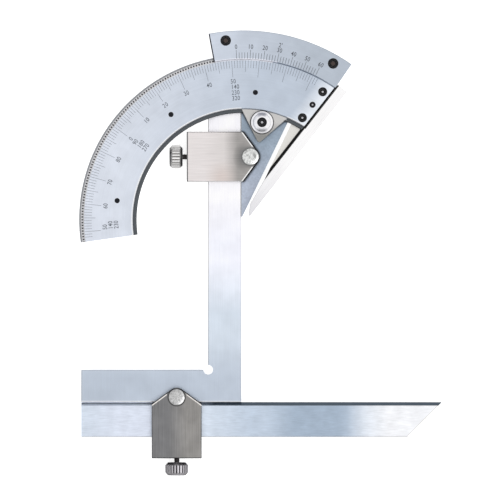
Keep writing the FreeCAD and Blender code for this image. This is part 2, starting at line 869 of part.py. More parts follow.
pieces = {
    "sector_plate": make_sector_plate(),
    "vernier_plate": make_vernier_plate(),
    "vernier_screws": make_vernier_screws(),
    "lock_plate": make_lock_plate(),
    "brake_stud": make_brake_stud(),
    "brake_washer": make_brake_washer(),
    "brake_nut": make_brake_nut(),
    "pinion_bush": make_pinion_bush(),
    "pinion_shaft": make_pinion_shaft(),
    "adjusting_knob": make_adjusting_knob(),
    "knob_screw": make_knob_screw(),
    "gear_ring": make_gear_ring(),
    "dial_plate": make_dial_plate(),
    "dial_pins": make_dial_pins(),
    "base_blade": make_base_blade(),
    "blade_screws": make_blade_screws(),
    "blade_dowel": make_blade_dowel(),
    "upper_clamp_block": upper(clamp_block(upper_held)),
    "upper_clamp_pin": upper(clamp_pin()),
    "upper_shoe": upper(clamp_shoe(upper_held)),
    "upper_thumb_screw": upper(thumb_screw(upper_held)),
    "square": make_square(),
    "lower_clamp_block": lower(clamp_block(lower_held)),
    "lower_clamp_pin": lower(clamp_pin()),
    "lower_shoe": lower(clamp_shoe(lower_held)),
    "lower_thumb_screw": lower(thumb_screw(lower_held)),
    "rule": make_rule(),
}

os.makedirs("parts", exist_ok=True)
for node, shape in pieces.items():
    shape.translate(to_origin)
    shape.exportStep("parts/" + node + ".step")
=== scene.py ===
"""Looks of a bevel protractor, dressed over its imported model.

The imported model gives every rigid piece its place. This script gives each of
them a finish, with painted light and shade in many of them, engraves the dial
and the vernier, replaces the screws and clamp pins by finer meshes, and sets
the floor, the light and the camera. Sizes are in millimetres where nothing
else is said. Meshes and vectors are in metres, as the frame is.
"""

import json
import logging
import math
from abc import ABC, abstractmethod
from dataclasses import dataclass
from enum import Enum
from functools import cache
from typing import Sequence

import bmesh
import bpy
from mathutils import Matrix, Vector


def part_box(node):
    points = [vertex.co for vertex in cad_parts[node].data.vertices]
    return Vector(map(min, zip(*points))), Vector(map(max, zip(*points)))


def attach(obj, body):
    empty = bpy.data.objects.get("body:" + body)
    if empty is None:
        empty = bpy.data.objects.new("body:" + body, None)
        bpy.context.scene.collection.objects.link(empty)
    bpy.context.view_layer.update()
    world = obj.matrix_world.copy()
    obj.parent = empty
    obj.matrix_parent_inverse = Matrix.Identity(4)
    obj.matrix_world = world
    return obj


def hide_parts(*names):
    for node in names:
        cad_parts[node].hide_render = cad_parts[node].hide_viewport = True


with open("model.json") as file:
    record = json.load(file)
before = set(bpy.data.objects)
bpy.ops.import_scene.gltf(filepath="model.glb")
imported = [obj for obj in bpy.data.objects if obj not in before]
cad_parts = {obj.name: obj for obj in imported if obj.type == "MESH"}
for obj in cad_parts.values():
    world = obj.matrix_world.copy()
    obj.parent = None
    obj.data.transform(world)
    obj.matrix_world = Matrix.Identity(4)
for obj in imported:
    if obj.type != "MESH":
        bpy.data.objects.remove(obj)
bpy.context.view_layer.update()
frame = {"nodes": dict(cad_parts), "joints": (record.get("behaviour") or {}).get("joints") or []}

MM = 0.001
LOG = logging.getLogger("protractor")

Socket = bpy.types.NodeSocket
Material = bpy.types.Material
Piece = bpy.types.Object
BMesh = bmesh.types.BMesh
Pair = tuple[float, float]
Colour = tuple[float, float, float]
Point = tuple[float, float, float]


class Grain(Enum):
    """How the marks of a finish run over a surface."""

    STRAIGHT = "straight"
    ROUND = "round"
    EVEN = "even"


class Measure(Enum):
    """What a band of a finish is measured by."""

    ALONG = "along"
    RADIUS = "radius"
    LEVEL = "level"


class Ring(Enum):
    """The outline of one ring of a turned mesh."""

    CIRCLE = "circle"
    HEXAGON = "hexagon"


def joint_place(name: str) -> Vector:
    """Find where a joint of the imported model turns.

    Args:
        name: the joint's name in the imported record.

    Returns:
        The joint's point in the row frame, in metres.
    """
    for joint in frame["joints"]:
        if joint["name"] == name:
            return Vector(joint["pos_m"])
    raise ValueError(f"the packed model has no joint named {name}")


def middle_of(node: str) -> Vector:
    """Return the middle of a CAD node's box, in metres."""
    low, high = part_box(node)
    return (low + high) / 2


def top_of(node: str) -> float:
    """Return the level of a CAD node's highest point, in metres."""
    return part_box(node)[1].z


def under(point: Vector) -> Point:
    """Return the place on the ground plane below a point."""
    return (point.x, point.y, 0.0)


def below_top(node: str, drop: float) -> Vector:
    """Find a point on a CAD node's axis.

    Args:
        node: the node's name.
        drop: how far below the node's top it lies, in millimetres.

    Returns:
        The point, in metres.
    """
    middle = middle_of(node)
    return Vector((middle.x, middle.y, top_of(node) - drop * MM))


ORIGIN = (0.0, 0.0, 0.0)
ARC_CENTRE = joint_place("scale_swing")
ARC_FOOT = under(ARC_CENTRE)
PINION_FOOT = under(joint_place("pinion_spin"))
FAR = 1000.0
CRISP = 0.03
ALONG_BLADE = 52.0
ACROSS_BLADE = -38.0
KNOB_LENGTH = 5.4
DIGIT_SHARE = 0.70
SHARP_DEG = 32.0
SPECK_SIDES = 24

WORN_STEEL = (0.95, 0.95, 0.96)
# colour of grime and painted shade where other parts stand close
SHADE_AND_GRIME = (0.02, 0.02, 0.022)
DEEP_BLACK = (0.002, 0.002, 0.002)
# painted shade for dark lines along edges and rims
PAINTED_EDGE_SHADE = (0.02, 0.02, 0.025)
GRAIN_DETAIL = 3.0
CLOUD_DETAIL = 2.0
BLOTCH_DETAIL = 1.0
NOISE_SPAN = (0.3, 0.7)
EDGE_SPAN = (0.86, 0.995)
EDGE_SAMPLES = 4
CORNER_SAMPLES = 6


def opaque(colour: Colour) -> tuple[float, float, float, float]:
    """Return a colour with full opacity."""
    return (*colour, 1.0)


def about(middle: float, down: float, up: float) -> Pair:
    """Return the ends of a range about a middle value."""
    return middle - down, middle + up


# Shader nodes
class NodeSheet:
    """Lays out the shader nodes of one material or of the sky."""

    def __init__(self, holder: bpy.types.ID) -> None:
        """Start with no nodes.

        Args:
            holder: the material or world that the nodes belong to.
        """
        self.holder = holder
        holder.use_nodes = True
        self.tree = holder.node_tree
        self.tree.nodes.clear()

    def add(self, kind: str, **settings: object) -> bpy.types.Node:
        """Add a node and set its properties.

        Args:
            kind: the node's type name without its ShaderNode prefix.
            **settings: properties of the node.

        Returns:
            The new node.
        """
        node = self.tree.nodes.new("ShaderNode" + kind)
        for name, value in settings.items():
            setattr(node, name, value)
        return node

    def feed(self, node: bpy.types.Node, socket: str | int, source: object) -> None:
        """Join a source to a socket, or set the socket to a plain value.

        Args:
            node: the node that takes the input.
            socket: the input's name or number.
            source: an output socket, a number or a tuple.
        """
        if isinstance(source, bpy.types.NodeSocket):
            self.tree.links.new(source, node.inputs[socket])
        else:
            node.inputs[socket].default_value = source

    def maths(self, operation: str, first: object, second: object = 0.0) -> Socket:
        """Add one step of arithmetic.

        Args:
            operation: the Math node's operation.
            first: the first value or source.
            second: the second value or source.

        Returns:
            The result's socket.
        """
        node = self.add("Math", operation=operation)
        self.feed(node, 0, first)
        self.feed(node, 1, second)
        return node.outputs[0]

    def spread(
        self, source: Socket, ends: Pair, to_ends: tuple[object, object], shape: str = "LINEAR"
    ) -> Socket:
        """Carry one range of numbers over to another, held at its ends.

        Args:
            source: the socket to read.
            ends: start and end of the range read.
            to_ends: results at both ends, numbers or sockets.
            shape: how it runs from one end to the other.

        Returns:
            The result's socket.
        """
        node = self.add("MapRange", interpolation_type=shape)
        self.feed(node, "Value", source)
        for name, value in zip(("From Min", "From Max", "To Min", "To Max"), (*ends, *to_ends)):
            self.feed(node, name, value)
        return node.outputs[0]

    def blend(self, factor: object, first: object, second: object, mode: str = "MIX") -> Socket:
        """Mix two colours.

        Args:
            factor: share of the second colour.
            first: the first colour.
            second: the second colour.
            mode: how they are mixed.

        Returns:
            The mixed colour's socket.
        """
        node = self.add("Mix", data_type="RGBA", blend_type=mode)
        self.feed(node, "Factor", factor)
        self.feed(node, 6, first)
        self.feed(node, 7, second)
        return node.outputs[2]

    def place(self, centre: Point = ORIGIN, turn: float = 0.0) -> Socket:
        """Give the place on the object, about a centre.

        Args:
            centre: the point that counts as zero.
            turn: how far the axes are turned about Z, in degrees.

        Returns:
            The place's vector socket, in metres.
        """
        coordinates = self.add("TexCoord")
        shift = self.add("VectorMath", operation="SUBTRACT")
        self.feed(shift, 0, coordinates.outputs["Object"])
        self.feed(shift, 1, centre)
        if not turn:
            return shift.outputs[0]
        rotate = self.add("VectorRotate", rotation_type="Z_AXIS")
        self.feed(rotate, "Vector", shift.outputs[0])
        self.feed(rotate, "Angle", math.radians(-turn))
        return rotate.outputs[0]

    def stretched(self, source: Socket, scale: Point) -> Socket:
        """Stretch a place vector by axis.

        Args:
            source: the vector to stretch.
            scale: factor along each axis.

        Returns:
            The stretched vector's socket.
        """
        node = self.add("VectorMath", operation="MULTIPLY")
        self.feed(node, 0, source)
        self.feed(node, 1, scale)
        return node.outputs[0]

    def parts(self, source: Socket) -> tuple[Socket, Socket, Socket]:
        """Take a vector apart into its three coordinates.

        Args:
            source: the vector to read.

        Returns:
            One socket for each axis.
        """
        node = self.add("SeparateXYZ")
        self.feed(node, 0, source)
        return tuple(node.outputs)

    def whole(self, coordinates: Sequence[Socket]) -> Socket:
        """Put a vector together from its three coordinates.

        Args:
            coordinates: one socket for each axis.

        Returns:
            The vector's socket.
        """
        node = self.add("CombineXYZ")
        for axis, coordinate in enumerate(coordinates):
            self.feed(node, axis, coordinate)
        return node.outputs[0]

    def rounded(self, source: Socket) -> tuple[Socket, Socket]:
        """Turn a place vector into a radius and an angle about Z.

        Args:
            source: the vector to read.

        Returns:
            The radius in metres and the angle in radians.
        """
        across, along, _ = self.parts(source)
        square = self.maths("ADD", self.maths("POWER", across, 2.0), self.maths("POWER", along, 2.0))
        return self.maths("SQRT", square), self.maths("ARCTAN2", along, across)

    def noise(self, source: Socket, scale: float, detail: float = CLOUD_DETAIL) -> Socket:
        """Add noise from 0 to 1.

        Args:
            source: the vector it is read at.
            scale: how often it changes.
            detail: how many finer layers it has.

        Returns:
            The noise's socket.
        """
        node = self.add("TexNoise")
        self.feed(node, "Vector", source)
        self.feed(node, "Scale", scale)
        self.feed(node, "Detail", detail)
        return node.outputs[0]

    def crease(self, width: float) -> Socket:
        """Find the edges of a piece.

        Args:
            width: how far from an edge it counts, in millimetres.

        Returns:
            A socket that is 0 on flat stretches and grows to 1 at an edge.
        """
        bevel = self.add("Bevel", samples=EDGE_SAMPLES)
        self.feed(bevel, "Radius", width * MM)
        geometry = self.add("NewGeometry")
        compare = self.add("VectorMath", operation="DOT_PRODUCT")
        self.feed(compare, 0, bevel.outputs[0])
        self.feed(compare, 1, geometry.outputs["Normal"])
        return self.spread(compare.outputs["Value"], EDGE_SPAN, (1.0, 0.0))

    def corner(self, reach: float) -> Socket:
        """Find the places that others stand close to.

        Args:
            reach: how far away a neighbour counts, in millimetres.

        Returns:
            A socket that is 0 in the open and grows to 1 in a corner.
        """
        shade = self.add("AmbientOcclusion", samples=CORNER_SAMPLES)
        self.feed(shade, "Distance", reach * MM)
        return self.maths("SUBTRACT", 1.0, shade.outputs["AO"])

    def bumped(self, height: Socket, depth: float, normal: Socket | None = None) -> Socket:
        """Turn a height into a bent normal.

        Args:
            height: the height from 0 to 1.
            depth: what a height of 1 stands for, in millimetres.
            normal: the normal that it is laid on, if any.

        Returns:
            The normal's socket.
        """
        node = self.add("Bump")
        self.feed(node, "Strength", 1.0)
        self.feed(node, "Distance", depth * MM)
        self.feed(node, "Height", height)
        if normal is not None:
            self.feed(node, "Normal", normal)
        return node.outputs[0]

    def surface(self, metallic: float, **sources: object) -> Material:
        """Close the sheet with a principled surface.

        Args:
            metallic: how metallic the surface is.
            **sources: what feeds the colour, roughness, normal and so on.

        Returns:
            The finished material.
        """
        shader = self.add("BsdfPrincipled")
        self.feed(shader, "Metallic", metallic)
        for name, source in sources.items():
            self.feed(shader, name.replace("_", " ").title(), source)
        output = self.add("OutputMaterial")
        self.feed(output, "Surface", shader.outputs[0])
        return self.holder


# Finishes
@dataclass(frozen=True)
class Band:
    """A stretch of one measure, with soft ends, in millimetres.

    The measure is a coordinate turned about Z, a radius or a level, all from the
    centre of the finish.
    """

    start: float = -FAR
    end: float = FAR
    soft: float = CRISP
    turn: float = 0.0
    measure: Measure = Measure.ALONG

    def value(self, sheet: NodeSheet, centre: Point) -> Socket:
        """Measure the place on the object.

        Args:
            sheet: the material's nodes.
            centre: the point that counts as zero.

        Returns:
            The measure's socket, in metres.
        """
        if self.measure is Measure.RADIUS:
            return sheet.rounded(sheet.place(centre))[0]
        along, _, level = sheet.parts(sheet.place(centre, self.turn))
        return along if self.measure is Measure.ALONG else level

    def share(self, sheet: NodeSheet, centre: Point) -> Socket:
        """Tell how far a place lies inside the stretch.

        Args:
            sheet: the material's nodes.
            centre: the point that counts as zero.

        Returns:
            A socket that is 1 inside and 0 outside.
        """
        value = self.value(sheet, centre)
        rise, fall = (
            sheet.spread(value, ((edge - self.soft) * MM, (edge + self.soft) * MM), to_ends)
            for edge, to_ends in ((self.start, (0.0, 1.0)), (self.end, (1.0, 0.0)))
        )
        return sheet.maths("MULTIPLY", rise, fall)


def by_radius(start: float = -FAR, end: float = FAR, soft: float = CRISP) -> Band:
    """Return a band that is a ring about the centre of its finish."""
    return Band(start, end, soft, measure=Measure.RADIUS)


def by_level(start: float = -FAR, end: float = FAR, soft: float = CRISP) -> Band:
    """Return a band that is a layer between two levels."""
    return Band(start, end, soft, measure=Measure.LEVEL)


@dataclass(frozen=True)
class Zone:
    """A part of a surface with a colour laid over it, where all its bands meet; many zones are painted light
    or shade.
    """

    colour: Colour
    bands: tuple[Band, ...]
    strength: float

    def over(self, sheet: NodeSheet, colour: object, centre: Point) -> Socket:
        """Lay the zone over a colour.

        Args:
            sheet: the material's nodes.
            colour: the colour underneath.
            centre: the point that counts as zero.

        Returns:
            The colour with the zone on it.
        """
        share: object = self.strength
        for band in self.bands:
            share = sheet.maths("MULTIPLY", band.share(sheet, centre), share)
        return sheet.blend(share, colour, opaque(self.colour))


def zone(colour: Colour, *bands: Band, strength: float = 1.0) -> Zone:
    """Return the zone of a colour where the given bands meet."""
    return Zone(colour, bands, strength)


class Finish(ABC):
    """A finish that pieces wear."""

    name: str

    @abstractmethod
    def material(self) -> Material:
        """Build the finish."""

    @cache
    def worn(self) -> Material:
        """Return the finish's material, built when it is first asked for."""
        return self.material()


@dataclass(frozen=True)
class GroundSteel(Finish):
    """Ground or brushed steel with grain, clouding, worn edges, grime and painted shade in its corners, and
    zones of colour, many of them painted light or shade.

    Pitches, lengths, sizes, depths, widths and reaches are in millimetres. Tones
    are shares of the colour's lightness.
    """

    name: str
    colour: Colour
    roughness: float = 0.34
    grain: Grain = Grain.STRAIGHT
    turn: float = 0.0
    centre: Point = ORIGIN
    grain_pitch: float = 0.12
    grain_length: float = 12.0
    grain_tone: float = 0.10
    grain_depth: float = 0.004
    grain_turns: float = 3.0
    even_share: float = 0.5
    cloud_size: float = 20.0
    cloud_tone: float = 0.04
    wear: float = 0.35
    wear_width: float = 0.22
    grime: float = 0.35
    grime_reach: float = 0.8
    zones: tuple[Zone, ...] = ()
    blotch_tone: float = 0.0
    blotch_size: float = 1.2
    blotch_depth: float = 0.06
    blotch_span: Pair = (0.35, 0.5)
    rough_span: Pair = (0.25, 0.75)
    smoother: float = 0.06
    rougher: float = 0.08

    def grain_noise(self, sheet: NodeSheet) -> Socket:
        """Lay the grain of the finish.

        Args:
            sheet: the material's nodes.

        Returns:
            The grain's height from 0 to 1.
        """
        place = sheet.place(self.centre, self.turn)
        fine = 1.0 / (self.grain_pitch * MM)
        coarse = 1.0 / (self.grain_length * MM)
        if self.grain is Grain.STRAIGHT:
            return sheet.noise(sheet.stretched(place, (coarse, fine, fine)), 1.0, GRAIN_DETAIL)
        if self.grain is Grain.EVEN:
            return sheet.noise(sheet.stretched(place, (fine, fine, fine)), self.even_share, GRAIN_DETAIL)
        radius, angle = sheet.rounded(place)
        level = sheet.parts(place)[2]
        factors = ((radius, fine), (angle, self.grain_turns), (level, fine))
        ringed = sheet.whole([sheet.maths("MULTIPLY", source, factor) for source, factor in factors])
        return sheet.noise(ringed, 1.0, GRAIN_DETAIL)

    def lit(self, sheet: NodeSheet, grain: Socket, blotch: Socket) -> Socket:
        """Work out how much lighter or darker the marks make the colour.

        Args:
            sheet: the material's nodes.
            grain: the grain's height.
            blotch: the blotches' height.

        Returns:
            A grey colour to multiply by.
        """
        cloud = sheet.noise(sheet.place(self.centre), 1.0 / (self.cloud_size * MM))
        light = sheet.maths(
            "MULTIPLY",
            sheet.spread(grain, NOISE_SPAN, about(1.0, self.grain_tone, self.grain_tone)),
            sheet.spread(cloud, NOISE_SPAN, about(1.0, self.cloud_tone, self.cloud_tone)),
        )
        blotched = sheet.spread(blotch, self.blotch_span, about(1.0, self.blotch_tone, 0.0))
        light = sheet.maths("MULTIPLY", light, blotched)
        return sheet.whole((light, light, light))

    def material(self) -> Material:
        """Build the finish.

        Returns:
            The finished material.
        """
        sheet = NodeSheet(bpy.data.materials.new(self.name))
        grain = self.grain_noise(sheet)
        blotch = sheet.noise(sheet.place(self.centre), 1.0 / (self.blotch_size * MM), BLOTCH_DETAIL)
        colour: object = opaque(self.colour)
        for part in self.zones:
            colour = part.over(sheet, colour, self.centre)
        colour = sheet.blend(1.0, colour, self.lit(sheet, grain, blotch), "MULTIPLY")
        worn = sheet.maths("MULTIPLY", sheet.crease(self.wear_width), self.wear)
        colour = sheet.blend(worn, colour, opaque(WORN_STEEL))
        # darken where other parts stand close: grime and painted shade
        shade_and_dirt = sheet.maths("MULTIPLY", sheet.corner(self.grime_reach), self.grime)
        colour = sheet.blend(shade_and_dirt, colour, opaque(SHADE_AND_GRIME))
        normal = sheet.bumped(grain, self.grain_depth)
        if self.blotch_tone:
            normal = sheet.bumped(blotch, self.blotch_depth, normal)
        rough = sheet.spread(grain, self.rough_span, about(self.roughness, self.smoother, self.rougher))
        return sheet.surface(1.0, base_color=colour, roughness=rough, normal=normal)


@dataclass(frozen=True)
class BlackOxide(Finish):
    """Blackened steel of the screws and pins, rubbed bright at its edges."""

    name: str
    colour: Colour = (0.009, 0.009, 0.011)
    rubbed: Colour = (0.42, 0.42, 0.43)
    roughness: float = 0.38
    metallic: float = 0.7
    grain_scale: float = 9000.0
    grain_depth: float = 0.006
    cloud_scale: float = 900.0
    cloud_span: Pair = (0.35, 0.65)
    rub: Pair = (0.15, 0.55)
    rub_width: float = 0.18
    grime: float = 0.9
    grime_reach: float = 0.8
    smoother: float = 0.08
    rougher: float = 0.12

    def material(self) -> Material:
        """Build the finish.

        Returns:
            The finished material.
        """
        sheet = NodeSheet(bpy.data.materials.new(self.name))
        place = sheet.place()
        grain = sheet.noise(place, self.grain_scale)
        cloud = sheet.noise(place, self.cloud_scale)
        patchy = sheet.spread(cloud, self.cloud_span, self.rub)
        worn = sheet.maths("MULTIPLY", sheet.crease(self.rub_width), patchy)
        colour = sheet.blend(worn, opaque(self.colour), opaque(self.rubbed))
        # grime and painted shade in corners, down to deep black
        shade_and_dirt = sheet.maths("MULTIPLY", sheet.corner(self.grime_reach), self.grime)
        colour = sheet.blend(shade_and_dirt, colour, opaque(DEEP_BLACK))
        return sheet.surface(
            self.metallic,
            base_color=colour,
            roughness=sheet.spread(grain, NOISE_SPAN, about(self.roughness, self.smoother, self.rougher)),
            normal=sheet.bumped(grain, self.grain_depth),
        )


@dataclass(frozen=True)
class EngravedPaint(Finish):
    """Dark paint rubbed into engraved lines, thin in places."""

    name: str
    colour: Colour
    faded: Colour
    patch_scale: float = 260.0
    patch_span: Pair = (0.35, 0.7)
    thinning: float = 0.8
    speckle_scale: float = 5000.0
    speckle_depth: float = 0.005
    roughness: Pair = (0.5, 0.75)

    def material(self) -> Material:
        """Build the finish.

        Returns:
            The finished material.
        """
        sheet = NodeSheet(bpy.data.materials.new(self.name))
        place = sheet.place()
        patches = sheet.noise(place, self.patch_scale, GRAIN_DETAIL)
        speckle = sheet.noise(place, self.speckle_scale)
        thin = sheet.maths("MULTIPLY", sheet.spread(patches, self.patch_span, (0.0, 1.0)), self.thinning)
        return sheet.surface(
            0.0,
            base_color=sheet.blend(thin, opaque(self.colour), opaque(self.faded)),
            roughness=sheet.spread(speckle, NOISE_SPAN, self.roughness),
            normal=sheet.bumped(speckle, self.speckle_depth),
        )


@dataclass(frozen=True)
class PaleFloor(Finish):
    """The plain pale floor: a lit white sheet with a trace of tooth."""

    name: str = "pale_floor"
    colour: Colour = (0.93, 0.93, 0.93)
    glow: float = 0.80
    tooth_scale: float = 400.0
    tooth_depth: float = 0.01
    roughness: Pair = (0.8, 0.95)

    def material(self) -> Material:
        """Build the finish.

        Returns:
            The finished material.
        """
        sheet = NodeSheet(bpy.data.materials.new(self.name))
        tooth = sheet.noise(sheet.place(), self.tooth_scale)
        return sheet.surface(
            0.0,
            base_color=opaque(self.colour),
            roughness=sheet.spread(tooth, NOISE_SPAN, self.roughness),
            normal=sheet.bumped(tooth, self.tooth_depth),
            emission_color=opaque(self.colour),
            emission_strength=self.glow,
        )


BLACK = BlackOxide("black_oxide")
# painted glint: a light disc standing in for a highlight in a dark socket or hole
GLINT = GroundSteel("painted_glint_steel", (0.5, 0.5, 0.52), 0.3, Grain.EVEN, wear=0.0, grime=0.0)
GEAR = GroundSteel("pinion_steel", (0.28, 0.29, 0.31), 0.34, Grain.ROUND, centre=PINION_FOOT, grime=0.6)
THREAD = GroundSteel("thread_steel", (0.10, 0.092, 0.088), 0.26, Grain.EVEN, wear=0.2, grime=0.8)


def wearing(node: str, finish: Finish) -> None:
    """Give a CAD node its finish.

    Args:
        node: the node's name.
        finish: the finish for all its slots.
    """
    for holder in frame["nodes"][node].material_slots:
        holder.material = finish.worn()
    LOG.info("%s wears %s", node, finish.name)


# Meshes
def mesh_piece(name: str, mesh: BMesh, finish: Finish) -> Piece:
    """Turn a worked mesh into an object of the scene.

    Args:
        name: the piece's name.
        mesh: its geometry in the row frame.
        finish: its finish.

    Returns:
        The new object.
    """
    data = bpy.data.meshes.new(name)
    bmesh.ops.recalc_face_normals(mesh, faces=mesh.faces)
    mesh.to_mesh(data)
    mesh.free()
    data.materials.append(finish.worn())
    data.shade_smooth()
    data.set_sharp_from_angle(angle=math.radians(SHARP_DEG))
    piece = bpy.data.objects.new(name, data)
    bpy.context.scene.collection.objects.link(piece)
    LOG.info("%s built", name)
    return piece


def add_slab(mesh: BMesh, outline: Sequence[Vector], low: float, high: float) -> None:
    """Add a flat slab with a straight-edged outline.

    Args:
        mesh: the mesh that takes it.
        outline: its corners, seen from above.
        low: level of its underside.
        high: level of its top.
    """
    below = [mesh.verts.new((point.x, point.y, low)) for point in outline]
    above = [mesh.verts.new((point.x, point.y, high)) for point in outline]
    mesh.faces.new(above)
    mesh.faces.new(list(reversed(below)))
    count = len(outline)
    for i in range(count):
        j = (i + 1) % count
        mesh.faces.new((below[i], below[j], above[j], above[i]))


@dataclass(frozen=True)
class Turning:
    """A turned form given by rings of radius and height, in metres."""

    rings: tuple[tuple[float, float, Ring], ...]
    sides: int = 48

    def corner(self, radius: float, ring: Ring, step: int) -> Pair:
        """Place one corner of a ring.

        Args:
            radius: the ring's radius, or half a hexagon's width.
            ring: the ring's outline.
            step: which corner.

        Returns:
            Its place across the axis.
        """
        angle = 2 * math.pi * step / self.sides
        if ring is Ring.HEXAGON:
            wedge = math.radians(60.0)
            radius = radius / math.cos((angle + wedge / 2) % wedge - wedge / 2)
        return radius * math.cos(angle), radius * math.sin(angle)

    def add_to(self, mesh: BMesh, place: Matrix) -> None:
        """Add the form to a mesh.

        Args:
            mesh: the mesh that takes it.
            place: where its foot stands and how it is turned.
        """
        loops = []
        for radius, height, ring in self.rings:
            if not radius:
                loops.append([mesh.verts.new(place @ Vector((0.0, 0.0, height)))])
                continue
            corners = [self.corner(radius, ring, step) for step in range(self.sides)]
            loops.append([mesh.verts.new(place @ Vector((x, y, height))) for x, y in corners])
        for near, far in zip(loops, loops[1:]):
            for i in range(self.sides):
                j = (i + 1) % self.sides
                corners = [near[i % len(near)], near[j % len(near)], far[j % len(far)], far[i % len(far)]]
                unique = list(dict.fromkeys(corners))
                if len(unique) > 2:
                    mesh.faces.new(unique)


def circles(*pairs: Pair) -> tuple[tuple[float, float, Ring], ...]:
    """Return round rings from pairs of radius and height in millimetres."""
    return tuple((radius * MM, height * MM, Ring.CIRCLE) for radius, height in pairs)


def hexagons(*pairs: Pair) -> tuple[tuple[float, float, Ring], ...]:
    """Return hexagon rings from pairs of half width and height in millimetres."""
    return tuple((radius * MM, height * MM, Ring.HEXAGON) for radius, height in pairs)


def add_specks(name: str, body: str, finish: Finish, places: Sequence[Vector], *pairs: Pair) -> None:
    """Set a small disc at each place, all as one piece; with the glint finish it is a painted glint.

    Args:
        name: the piece's name.
        body: the body it rides on.
        finish: its finish.
        places: where the discs stand.
        *pairs: radius and height of each ring of a disc, in millimetres.
    """
    mesh = bmesh.new()
    form = Turning(circles(*pairs), SPECK_SIDES)
    for place in places:
        form.add_to(mesh, Matrix.Translation(place))
    piece = mesh_piece(name, mesh, finish)
    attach(piece, body)


# Engraving
@dataclass(frozen=True)
class Label:
    """A number, or several stacked inwards, at one direction of the arc.

    The shift moves it clockwise along the arc, in millimetres.
    """

    degrees: float
    rows: tuple[str, ...]
    shift: float = 0.0


@dataclass
class Engraving:
    """Lines and numbers on one face, about the centre of the arc.

    The level of the face is in metres.
    """

    name: str
    body: str
    slot: str
    level: float
    paint: Finish
    line_width: float = 0.125
    proud: float = 0.012
    digit_height: float = 1.85
    digit_narrowing: float = 0.80
    digit_advance: float = 1.3
    digit_spacing: float = 1.08
    stroke_gain: float = 0.010
    curve_steps: int = 3

    def point(self, radius: float, degrees: float) -> Vector:
        """Find a point by its distance and direction from the arc's centre.

        Args:
            radius: the distance, in millimetres.
            degrees: the direction.

        Returns:
            The point, in metres.
        """
        reach = radius * MM
        angle = math.radians(degrees)
        return ARC_CENTRE + Vector((reach * math.cos(angle), reach * math.sin(angle), 0.0))

    def settled(self, mesh: BMesh, kind: str) -> Piece:
        """Make a piece of the engraving and let it ride.

        Args:
            mesh: its geometry.
            kind: what it holds, lines or numbers.

        Returns:
            The piece.
        """
        piece = mesh_piece(f"{self.name}_{kind}", mesh, self.paint)
        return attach(piece, self.body)

    def lines(self, marks: Sequence[tuple[float, float, float]]) -> Piece:
        """Build all the radial lines of the face as one piece.

        Args:
            marks: direction, inner radius and outer radius of each.

        Returns:
            The piece.
        """
        mesh = bmesh.new()
        proud = self.proud * MM
        for degrees, near, far in marks:
            angle = math.radians(degrees)
            side = Vector((-math.sin(angle), math.cos(angle), 0.0)) * (self.line_width * MM) / 2
            start = self.point(near, degrees)
            end = self.point(far, degrees)
            outline = [start - side, end - side, end + side, start + side]
            add_slab(mesh, outline, self.level - proud, self.level + proud)
        return self.settled(mesh, "lines")

    def text_mesh(self, words: str) -> bpy.types.Mesh:
        """Draw a word as a thin flat mesh around its own middle.

        Args:
            words: what it says.

        Returns:
            The mesh.
        """
        height = self.digit_height * MM
        curve = bpy.data.curves.new("drawn", "FONT")
        curve.body = words
        curve.size = height / DIGIT_SHARE
        curve.align_x = "CENTER"
        curve.space_character = self.digit_spacing
        curve.offset = self.stroke_gain * height
        curve.extrude = self.proud * MM
        curve.resolution_u = self.curve_steps
        holder = bpy.data.objects.new("drawn", curve)
        bpy.context.scene.collection.objects.link(holder)
        bpy.context.view_layer.update()
        shaped = holder.evaluated_get(bpy.context.evaluated_depsgraph_get())
        drawn = bpy.data.meshes.new_from_object(shaped)
        bpy.data.objects.remove(holder)
        bpy.data.curves.remove(curve)
        lower = Matrix.Translation((0.0, -height / 2, 0.0))
        drawn.transform(Matrix.Diagonal((self.digit_narrowing, 1.0, 1.0, 1.0)) @ lower)
        return drawn

    def numbers(self, labels: Sequence[Label], radii: Sequence[float]) -> Piece:
        """Build all the numbers of the face as one piece.

        Args:
            labels: the numbers and their directions.
            radii: radius of the first row, the second and so on.

        Returns:
            The piece.
        """
        mesh = bmesh.new()
        for label in labels:
            angle = math.radians(label.degrees)
            turn = Matrix.Rotation(math.radians(label.degrees - 90.0), 4, "Z")
            clockwise = Vector((math.sin(angle), -math.cos(angle), 0.0))
            for words, radius in zip(label.rows, radii):
                drawn = self.text_mesh(words)
                longer = max(len(words) - 2, 0)
                moved = (label.shift + self.digit_advance * longer / 2) * MM
                spot = self.point(radius, label.degrees) + clockwise * moved
                drawn.transform(Matrix.Translation((spot.x, spot.y, self.level)) @ turn)
                mesh.from_mesh(drawn)
                bpy.data.meshes.remove(drawn)
        return self.settled(mesh, "numbers")


